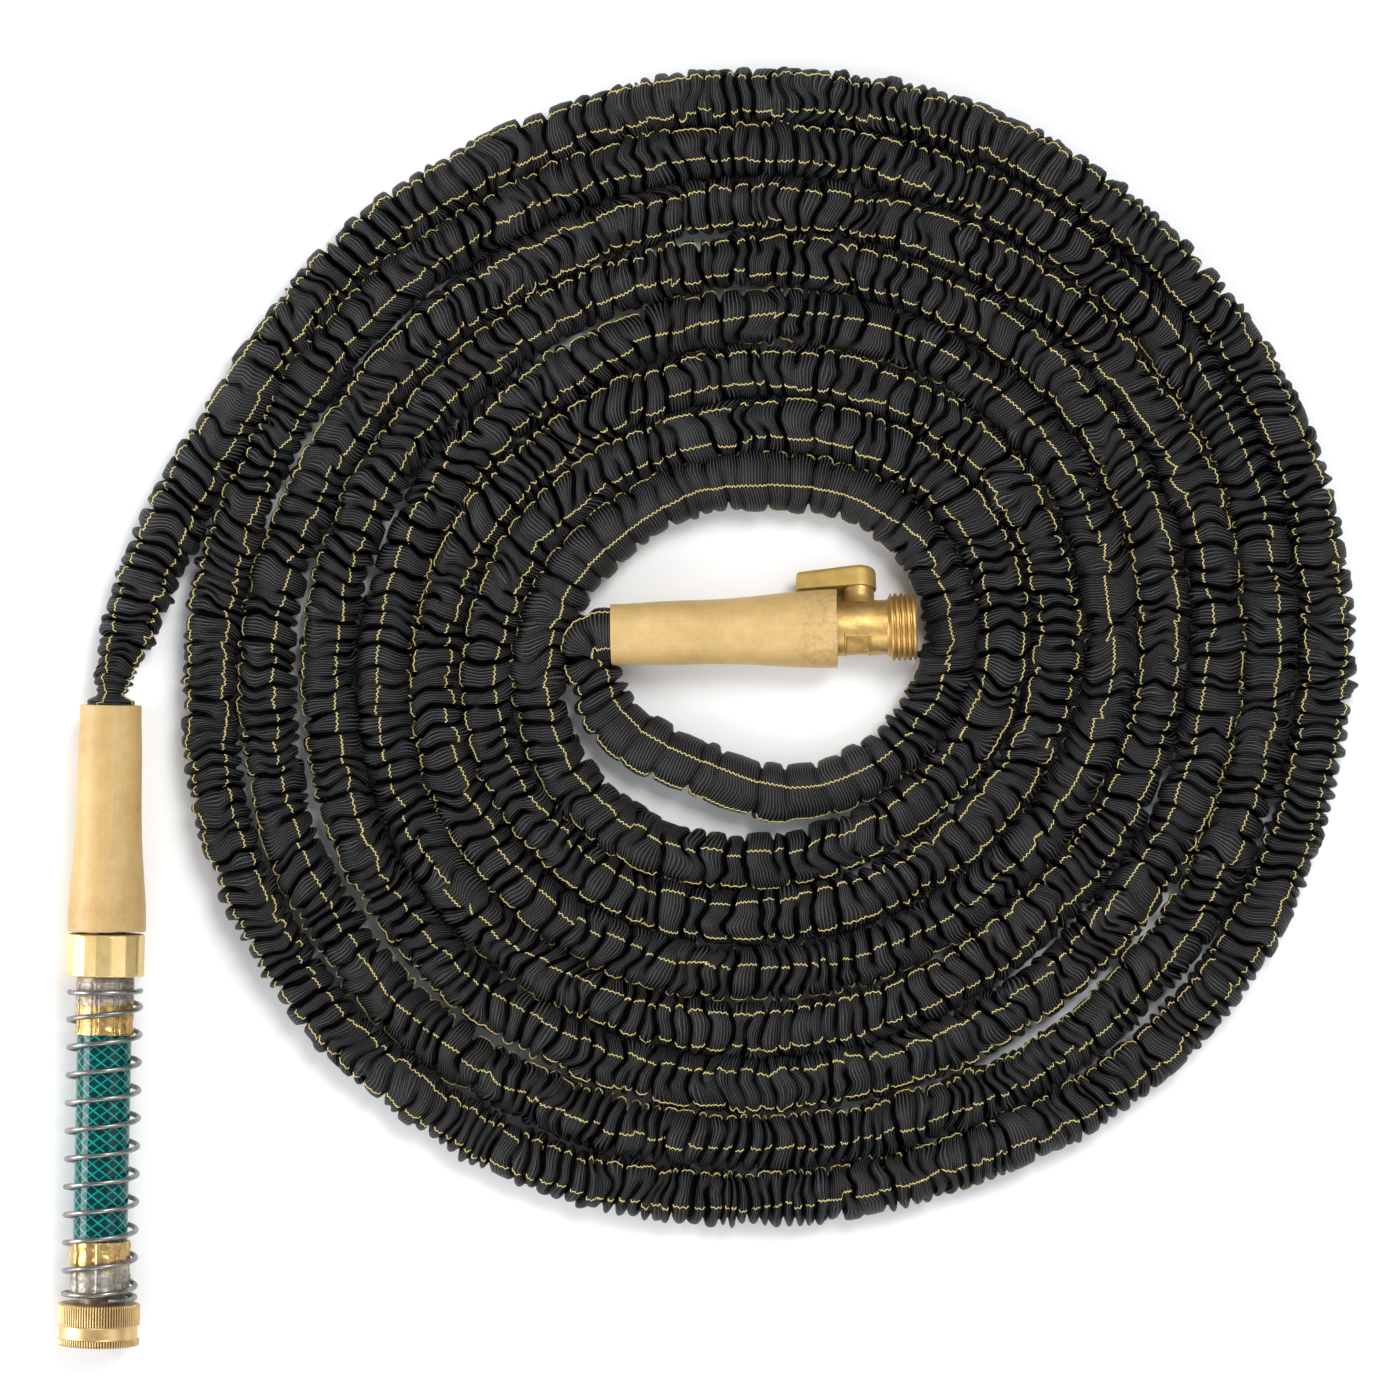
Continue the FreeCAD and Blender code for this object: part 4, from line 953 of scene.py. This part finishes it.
def soften(outline, fillet, steps=3):
    """The outline with each corner rounded by the fillet, or by less where a side is short."""
    rounded = []
    count = len(outline)
    for index, corner in enumerate(outline):
        before, here, after = vector(outline[index - 1]), vector(corner), vector(outline[(index + 1) % count])
        back, forth = before - here, after - here
        size = min(fillet, 0.45 * np.linalg.norm(back), 0.45 * np.linalg.norm(forth))
        start, end = here + unit(back) * size, here + unit(forth) * size
        for step in range(steps + 1):
            part = step / steps
            point = start * (1 - part) ** 2 + here * 2 * part * (1 - part) + end * part**2
            rounded.append(tuple(point))
    return rounded


def divide(outline, longest):
    """The outline with points added so that no step is longer than this."""
    points = []
    for index, corner in enumerate(outline):
        start, end = vector(corner), vector(outline[(index + 1) % len(outline)])
        parts = max(1, math.ceil(np.linalg.norm(end - start) / longest))
        points += [tuple(start + (end - start) * part / parts) for part in range(parts)]
    return points


def bell(distance, width):
    return np.exp(-((distance / width) ** 2))


# Stations along a grip sleeve from its mouth, and its outer radius there.
SLEEVE_SHAPE = [
    (0.0, 12.3), (15.0, 12.65), (35.0, 12.9), (48.0, 13.15), (59.0, 13.8),
    (67.0, 14.45), (75.0, 15.15), (83.0, 15.6), (91.0, 15.75),
]
SLEEVE_WALL = 1.75
SLEEVE_RINGS = 62
SLEEVE_FILLET = 0.45
# The moulding nub that stands up near the wide end.
NUB_STATION = 86.0
NUB_HEIGHT = 0.55


def add_grip(name, node, axis, seed):
    """A moulded rubber grip: a smooth flare, slightly uneven, with a roughly trimmed wide end."""
    rng = np.random.default_rng(seed)
    stations, radii = zip(*SLEEVE_SHAPE)
    curve = np.polynomial.Polynomial.fit(stations, radii, 6)
    along = np.linspace(0.0, stations[-1], SLEEVE_RINGS)
    outer = [(float(curve(s)), s) for s in along]
    inner = [(float(curve(s)) - SLEEVE_WALL, s) for s in along[::-1]]
    waves = rng.uniform(0, math.tau, 8)

    def uneven(radius, station, angle):
        sag = 0.10 * np.sin(2 * angle + waves[0]) * np.sin(station / 21.0 + waves[1])
        sag += 0.07 * np.sin(3 * angle + waves[2] + station / 30.0) + 0.04 * np.sin(station / 6.0 + waves[3])
        trim = 0.28 * np.sin(angle + waves[4]) + 0.16 * np.sin(3 * angle + waves[5])
        trim += 0.07 * np.sin(11 * angle + waves[6])
        nub = NUB_HEIGHT * bell(near(angle, waves[7]), 0.05) * bell(station - NUB_STATION, 1.4)
        mouth = 0.10 * np.sin(2 * angle + waves[6])
        wide_end = fade_in(station - 84.0, 7.0) ** 2
        near_mouth = np.clip(1.0 - station / 5.0, 0.0, 1.0) ** 2
        return radius + sag - 0.05 + nub, station + (trim - 0.45) * wide_end + (mouth + 0.1) * near_mouth

    rounded = soften(outer + inner, SLEEVE_FILLET, 2)
    return add_fitting(name, node, "hose", "grip_rubber", None, turned(axis, rounded, 112, uneven))


THREAD_PITCH = 2.2
THREAD_DEPTH = 1.35
INNER_THREAD_DEPTH = 0.9


def thread_profile(station, angle):
    """The share of a thread's depth at this place on a right-handed helix: 0 on a crest, 1 at a root."""
    part = np.abs((station / THREAD_PITCH - angle / math.tau) % 1.0 - 0.5) * 2
    fall = fade_in(part - 0.36, 0.48)
    return fall * fall * (3 - 2 * fall)


def cut_inner_thread(radius, station, angle, widest, start):
    """The ring's radii with a female thread cut into the bore that starts at this station."""
    bore = (radius < widest) & (radius > 13.0) & (station > start)
    return np.where(bore, radius - INNER_THREAD_DEPTH * (1 - thread_profile(station, angle)), radius)


VALVE_OUTLINE = [
    (9.0, 80.2), (10.6, 80.2), (11.0, 80.8), (11.0, 110.4), (11.7, 111.2), (12.7, 111.6), (13.5, 112.0),
    (13.5, 121.6), (13.0, 122.15), (12.6, 122.2), (8.7, 122.2), (8.5, 121.9), (8.5, 114.0), (5.4, 112.0),
    (5.2, 111.6), (5.2, 107.4), (8.0, 107.35), (8.0, 91.85), (9.0, 91.8),
]
BOSS_OUTLINE = [
    (3.3, 8.4), (7.6, 8.4), (6.75, 10.4), (6.38, 11.6), (6.3, 12.4),
    (6.3, 16.5), (6.0, 16.85), (3.5, 16.85), (3.3, 16.6),
]
# The barrel's wrench flats: the angles they face, how far out they lie, and the stations they lie between.
VALVE_FLATS = (math.radians(240), math.radians(300))
FLAT_HEIGHT = 10.2
FLAT_START = 93.8
FLAT_END = 103.0


def valve_shape(radius, station, angle):
    """Hose thread, wrench flats with a raised rib at each end, and the skin of a casting."""
    outside = radius > 10.5
    threaded = outside & (station > 110.6) & (radius > 11.2)
    fade = fade_in(station - 111.0, 0.8) * np.clip((122.0 - station) / 0.5, 0.35, 1.0)
    radius = np.where(threaded, radius - THREAD_DEPTH * thread_profile(station, angle) * fade, radius)
    barrel = outside & (station < 110.2)
    flat = radius.copy()
    for middle in VALVE_FLATS:
        away = near(angle, middle)
        across = FLAT_HEIGHT / np.maximum(np.cos(away), 0.5)
        inside = (station > FLAT_START) & (station < FLAT_END) & (np.abs(away) < 0.45)
        flat = np.where(inside, np.minimum(flat, across), flat)
        ribs = bell(station - 93.6, 0.42) + bell(station - 103.3, 0.42)
        rib = 0.32 * ribs * fade_in(0.47 - np.abs(away), 0.06)
        between = fade_in(104.0 - station, 0.6) * fade_in(station - 93.0, 0.6)
        flat = flat + rib + 0.14 * bell(away + 0.42, 0.03) * between
    skin = 0.05 * np.sin(5 * angle + station / 2.3) + 0.04 * np.sin(9 * angle - station / 1.7)
    return np.where(barrel, flat + skin - 0.05, radius), station


def add_valve():
    """The cast valve body: its barrel with the hose thread, and the round boss for the stem."""
    barrel = turned(outlet, divide(VALVE_OUTLINE, 0.22), 180, valve_shape)
    boss = turned(stem, BOSS_OUTLINE, 96)
    return add_fitting("valve_casting", "valve_body", "hose", "cast_brass", 40, barrel, boss)


# The lever from above and from the side, from the stem's middle: its arm points to -X.
LEVER_REACH = 24.8
LEVER_HUB = 7.2
LEVER_TIP_HALF = 4.0
LEVER_TIP_CORNER = 1.7
LEVER_BOTTOM = 15.95
LEVER_TOP = 24.9
# How much lower the top of the arm's tip is than the hub's.
LEVER_DROP = 1.25
LEVER_POINTS = 160
# Insets from the outline, and how far below the sloping top, from the well over the rounded edge to the side.
LEVER_UPPER = [
    (4.0, 0.0), (2.0, 0.0), (1.25, 0.14), (0.68, 0.48), (0.28, 1.0),
    (0.07, 1.6), (0.0, 2.3), (0.0, 3.2), (0.0, 5.0), (0.0, 7.0),
]
# Insets from the outline and heights over the bottom, then radii and heights in the hollow hub.
LEVER_LOWER = [(0.0, 0.5), (0.12, 0.15), (0.45, 0.0)]
LEVER_HOLLOW = [(6.75, 0.0), (6.62, 0.15), (6.6, 1.3), (0.4, 1.35)]
# Radii of the round well over the screw's head, and heights over the hub's top.
LEVER_WELL = [(0.4, -2.5), (3.7, -2.4), (3.7, -0.5), (3.85, -0.12), (4.1, 0.0)]


def lever_outline(inset):
    """The lever from above, moved in by the inset: a round hub and a tip with round corners, and their hull."""
    corner = LEVER_TIP_CORNER
    circles = [
        (0.0, 0.0, LEVER_HUB),
        (corner - LEVER_REACH, LEVER_TIP_HALF - corner, corner),
        (corner - LEVER_REACH, corner - LEVER_TIP_HALF, corner),
    ]
    points = []
    for way in np.linspace(0.0, math.tau, LEVER_POINTS, endpoint=False):
        heading = vector((math.cos(way), math.sin(way)))
        x, y, radius = max(circles, key=lambda c: c[0] * heading[0] + c[1] * heading[1] + c[2])
        points.append(vector((x, y)) + heading * (radius - inset))
    return np.array(points)


def add_lever():
    """The cast lever: a hub like an upside-down cup over the stem's boss, and a tapered arm."""
    ways = np.linspace(0.0, math.tau, LEVER_POINTS, endpoint=False)

    def level(points, height):
        return np.column_stack([points, np.full(len(points), height)])

    def circle(radius, height):
        return level(np.column_stack([np.cos(ways) * radius, np.sin(ways) * radius]), height)

    def sloping(points, drop):
        fall = LEVER_DROP * np.clip(points[:, 0], -LEVER_REACH, 0.0) / LEVER_REACH
        return np.column_stack([points, LEVER_TOP + fall - drop])

    rings = [circle(radius, LEVER_TOP + lift) for radius, lift in LEVER_WELL]
    rings += [sloping(lever_outline(inset), drop) for inset, drop in LEVER_UPPER]
    rings += [level(lever_outline(inset), LEVER_BOTTOM + lift) for inset, lift in LEVER_LOWER]
    rings += [circle(radius, LEVER_BOTTOM + lift) for radius, lift in LEVER_HOLLOW]
    quads, ring, segment = grid_quads(len(rings), LEVER_POINTS)
    uv = np.stack([segment * 0.4, ring * 0.8], axis=-1)
    casting = (stem.world(np.concatenate(rings)), quads[:, ::-1], uv[:, ::-1])
    return add_fitting("lever_casting", "lever_handle", "lever", "lever_brass", 42, casting)


SCREW_OUTLINE = [
    (0.0, 24.25), (1.2, 24.2), (2.2, 24.0), (2.9, 23.6), (3.15, 23.1),
    (3.15, 22.42), (1.5, 22.4), (1.5, 15.4), (0.0, 15.3),
]
CROSS_DEPTH = 0.9
CROSS_REACH = 2.3
CROSS_HALF_WIDTH = 0.42


def add_screw():
    """A pan-head screw with a cross slot, in the lever's well."""

    def cross_slot(radius, station, angle):
        across = np.minimum(np.abs(radius * np.cos(angle)), np.abs(radius * np.sin(angle)))
        deep = fade_in(CROSS_HALF_WIDTH - across, 0.12) * fade_in(CROSS_REACH - radius, 0.3)
        return radius, np.where(station > 22.5, station - CROSS_DEPTH * deep, station)

    head = turned(stem, divide(SCREW_OUTLINE, 0.22), 96, cross_slot)
    return add_fitting("lever_cross_screw", "lever_screw", "lever", "screw_steel", 50, head)


NUT_FACETS = 16
# The slope of each facet from side to side, from uneven milling.
FACET_TILTS = (
    0.05, -0.04, 0.05, -0.03, -0.05, 0.06, -0.02, 0.04, -0.05, 0.05, -0.04, 0.03, 0.05, -0.05, 0.04, -0.03,
)
NUT_RADIUS = 15.65
NUT_OUTLINE = [
    (8.1, 91.4), (14.9, 91.4), (15.4, 91.85), (NUT_RADIUS, 92.3), (NUT_RADIUS, 107.5), (15.4, 108.0),
    (14.9, 108.4), (13.9, 108.4), (13.6, 108.0), (13.6, 93.8), (8.1, 93.8),
]
# The angle of one edge between facets.
NUT_EDGE_TURN = math.radians(98.7)


def add_faceted_nut():
    """The swivel nut with flat facets, its edges a little worn."""
    flat = NUT_RADIUS * math.cos(math.pi / NUT_FACETS)
    facet_turn = math.tau / NUT_FACETS

    def facets(radius, station, angle):
        part = (angle - NUT_EDGE_TURN) % facet_turn - math.pi / NUT_FACETS
        facet = np.floor((angle - NUT_EDGE_TURN) / facet_turn).astype(int) % NUT_FACETS
        tilt = np.take(FACET_TILTS, facet)
        cut = np.minimum(flat / np.cos(part) + tilt * part * NUT_RADIUS, NUT_RADIUS + 0.1)
        radius = cut_inner_thread(radius, station, angle, 13.95, 94.5)
        return np.where(radius > 14.2, np.minimum(radius, cut), radius), station

    nut = turned(inlet, divide(soften(NUT_OUTLINE, 0.25, 2), 0.6), NUT_FACETS * 12, facets)
    return add_fitting("faceted_nut", "inlet_nut", "inlet_nut", "nut_brass", 14, nut)


TAP_NUT_OUTLINE = [
    (8.1, 238.7), (15.2, 238.7), (16.0, 239.0), (16.4, 239.5), (16.4, 247.3), (15.75, 247.55), (15.6, 247.8),
    (15.6, 252.6), (15.8, 252.75), (16.35, 252.9), (16.4, 255.1), (16.0, 255.55), (15.4, 255.7), (14.3, 255.7),
    (13.7, 255.2), (13.6, 255.0), (13.6, 247.7), (14.2, 247.6), (14.2, 242.8), (8.1, 242.8),
]
KNURL_DEPTH = 0.75


def add_knurled_nut():
    """The swivel nut for the tap: two bands of straight knurls with a plain groove between them."""

    def knurl(radius, station, angle):
        tooth = np.abs(np.sin(angle * KNURLS / 2)) ** 0.6
        band = fade_in(radius - 15.75, 0.25)
        radius = radius - KNURL_DEPTH * (1 - tooth) * band
        return cut_inner_thread(radius, station, angle, 13.9, 247.9), station

    nut = turned(inlet, divide(TAP_NUT_OUTLINE, 0.45), KNURLS * 8, knurl)
    return add_fitting("knurled_nut", "tap_nut", "tap_nut", "nut_brass_knurled", 60, nut)


CRIMPS = 8
BARB_PITCH = 6.2
UPPER_FERRULE = [
    (10.95, 110.55), (11.45, 110.55), (11.65, 110.9), (11.65, 131.2),
    (11.5, 131.6), (11.3, 131.7), (10.95, 131.6),
]
LOWER_FERRULE = [
    (10.95, 213.95), (11.8, 213.9), (12.0, 214.1), (12.1, 214.6),
    (12.1, 234.2), (11.9, 234.6), (11.6, 234.7), (10.95, 234.65),
]


def crimped(first_ridge, first, last):
    """A ferrule squeezed by eight jaws: a sharp ridge between jaws, and bands where the barbs push out."""

    def shape(radius, station, angle):
        part = near(angle * CRIMPS, first_ridge * CRIMPS) / CRIMPS
        ridge = 0.42 * bell(part, 0.030) - 0.30 * bell(np.abs(part) - 0.085, 0.035)
        jaw = -0.16 * (1 - (part * CRIMPS / math.pi) ** 2)
        band = 0.17 * np.sin((station - first) * math.tau / BARB_PITCH) - 0.05 * np.cos(station * 2.3 + 5 * angle)
        dent = 0.09 * np.sin(7 * angle + station / 1.9) * np.sin(station / 2.7 + 3 * angle)
        ends = fade_in(station - first, 0.8) * fade_in(last - station, 0.8)
        return np.where(radius > 11.2, radius + (ridge + jaw + band + dent - 0.22) * ends, radius), station

    return shape


def add_ferrule(name, node, outline, first_ridge, slot):
    shape = crimped(math.radians(first_ridge), outline[0][1], outline[-1][1])
    return add_fitting(name, node, "hose", slot, 50, turned(inlet, divide(outline, 0.4), 288, shape))


COVER_OUTLINE = [(8.7, 111.7), (COVER_RADIUS, 111.7), (COVER_RADIUS, 233.5), (8.7, 233.5)]


def add_leader_cover():
    """The leader hose's clear green cover, with its braid under the surface."""
    cover = turned(inlet, divide(COVER_OUTLINE, 2.0), 128)
    return add_fitting("leader_cover_braided", "leader_cover", "hose", "cover_pvc", 50, cover)


# ---------------- stage and light

FLOOR_REACH = 6.0
WORLD_COLOUR = (0.95, 0.97, 1.0, 1.0)
WORLD_STRENGTH = 0.45
# Each light's name, its place from the object's middle (but its height from the floor), its size and its power.
LIGHTS = [
    ("key", (0.8, 1.1, 2.1), (1.1, 1.1), 44.0),
    ("fill", (1.6, -0.6, 1.6), (1.6, 1.6), 8.0),
    ("front", (-0.2, -1.7, 1.5), (1.4, 1.0), 16.0),
    ("side", (-1.3, -0.10, 0.36), (0.8, 0.66), 16.0),
]
# The height that the low side light is aimed at. The others are aimed at the object's middle.
SIDE_TARGET_HEIGHT = 0.3


def add_stage():
    r = FLOOR_REACH
    mesh = bpy.data.meshes.new("floor")
    mesh.from_pydata([(-r, -r, 0), (r, -r, 0), (r, r, 0), (-r, r, 0)], [], [(0, 1, 2, 3)])
    finish = Finish("white_floor", base_color=(0.93, 0.935, 0.94, 1.0), roughness=0.9, specular_ior_level=0.1)
    mesh.materials.append(finish.material)
    new_object("floor", mesh)


def add_lights():
    world = bpy.data.worlds.new("studio")
    world.use_nodes = True
    world.node_tree.nodes["Background"].inputs["Color"].default_value = WORLD_COLOUR
    world.node_tree.nodes["Background"].inputs["Strength"].default_value = WORLD_STRENGTH
    bpy.context.scene.world = world
    bpy.context.scene.view_settings.view_transform = "Standard"
    middle = (cad_box[0] + cad_box[1]) / 2
    for name, (aside, ahead, height), size, power in LIGHTS:
        light = bpy.data.lights.new(name, "AREA")
        light.shape = "RECTANGLE"
        light.size, light.size_y = size
        light.energy = power
        lamp = new_object(name, light)
        lamp.location = (middle.x + aside, middle.y + ahead, height)
        target = Vector((middle.x, middle.y, SIDE_TARGET_HEIGHT if name == "side" else middle.z))
        lamp.rotation_euler = (target - lamp.location).to_track_quat("-Z", "Y").to_euler()


# ---------------- build

add_camera()
add_stage()
add_lights()
line = Line(spline_points(hose_route()))
grid = sheath_grid(line)
sheath = add_sheath(line, grid)
wear(sheath, sheath_finish())
threads = add_tracers(grid)
wear(threads, tracer_finish())

cast = brass_finish("cast_brass", (0.50, 0.30, 0.085), (0.70, 0.465, 0.17), 1500.0, (0.32, 0.50), 0.8)
wear(add_grip("outlet_grip", "outlet_sleeve", outlet, 3), rubber_finish("handled_tan_rubber", 0.55, 0.97))
# The inlet grip's rubber is painted darker than the outlet grip's, tone 0.88 against 0.97: a painted shade against
# the stronger light on it.
wear(add_grip("inlet_grip", "inlet_sleeve", inlet, 4), rubber_finish("tan_rubber", 0.20, 0.88))
wear(add_valve(), cast)
wear(
    add_lever(),
    brass_finish("lever_brass", (0.42, 0.275, 0.074), (0.58, 0.395, 0.118), 1900.0, (0.48, 0.66), 0.4, 0.6),
)
wear(
    add_screw(),
    plain_finish("screw_steel", grey(0.40), (0.55, 0.55, 0.54), 900.0, roughness=0.3, metallic=1.0),
)
wear(
    add_faceted_nut(),
    brass_finish("faceted_nut_brass", (0.74, 0.52, 0.20), (0.90, 0.68, 0.33), 1800.0, (0.30, 0.42), 0.25),
)
wear(
    add_knurled_nut(),
    brass_finish(
        "knurled_nut_brass", (0.56, 0.36, 0.15), (0.80, 0.56, 0.27), 1800.0, (0.28, 0.42), 0.25, knurled=True
    ),
)
wear(
    add_ferrule("crimped_upper_ferrule", "upper_ferrule", UPPER_FERRULE, 104, "ferrule_metal"),
    plated_finish("worn_upper_ferrule", 114.0, 126.0),
)
wear(
    add_ferrule("crimped_lower_ferrule", "lower_ferrule", LOWER_FERRULE, 90, "ferrule_brass"),
    plated_finish("worn_lower_ferrule", 232.0, 220.0),
)
wear(add_leader_cover(), cover_finish())
finish_cad_nodes(cast)
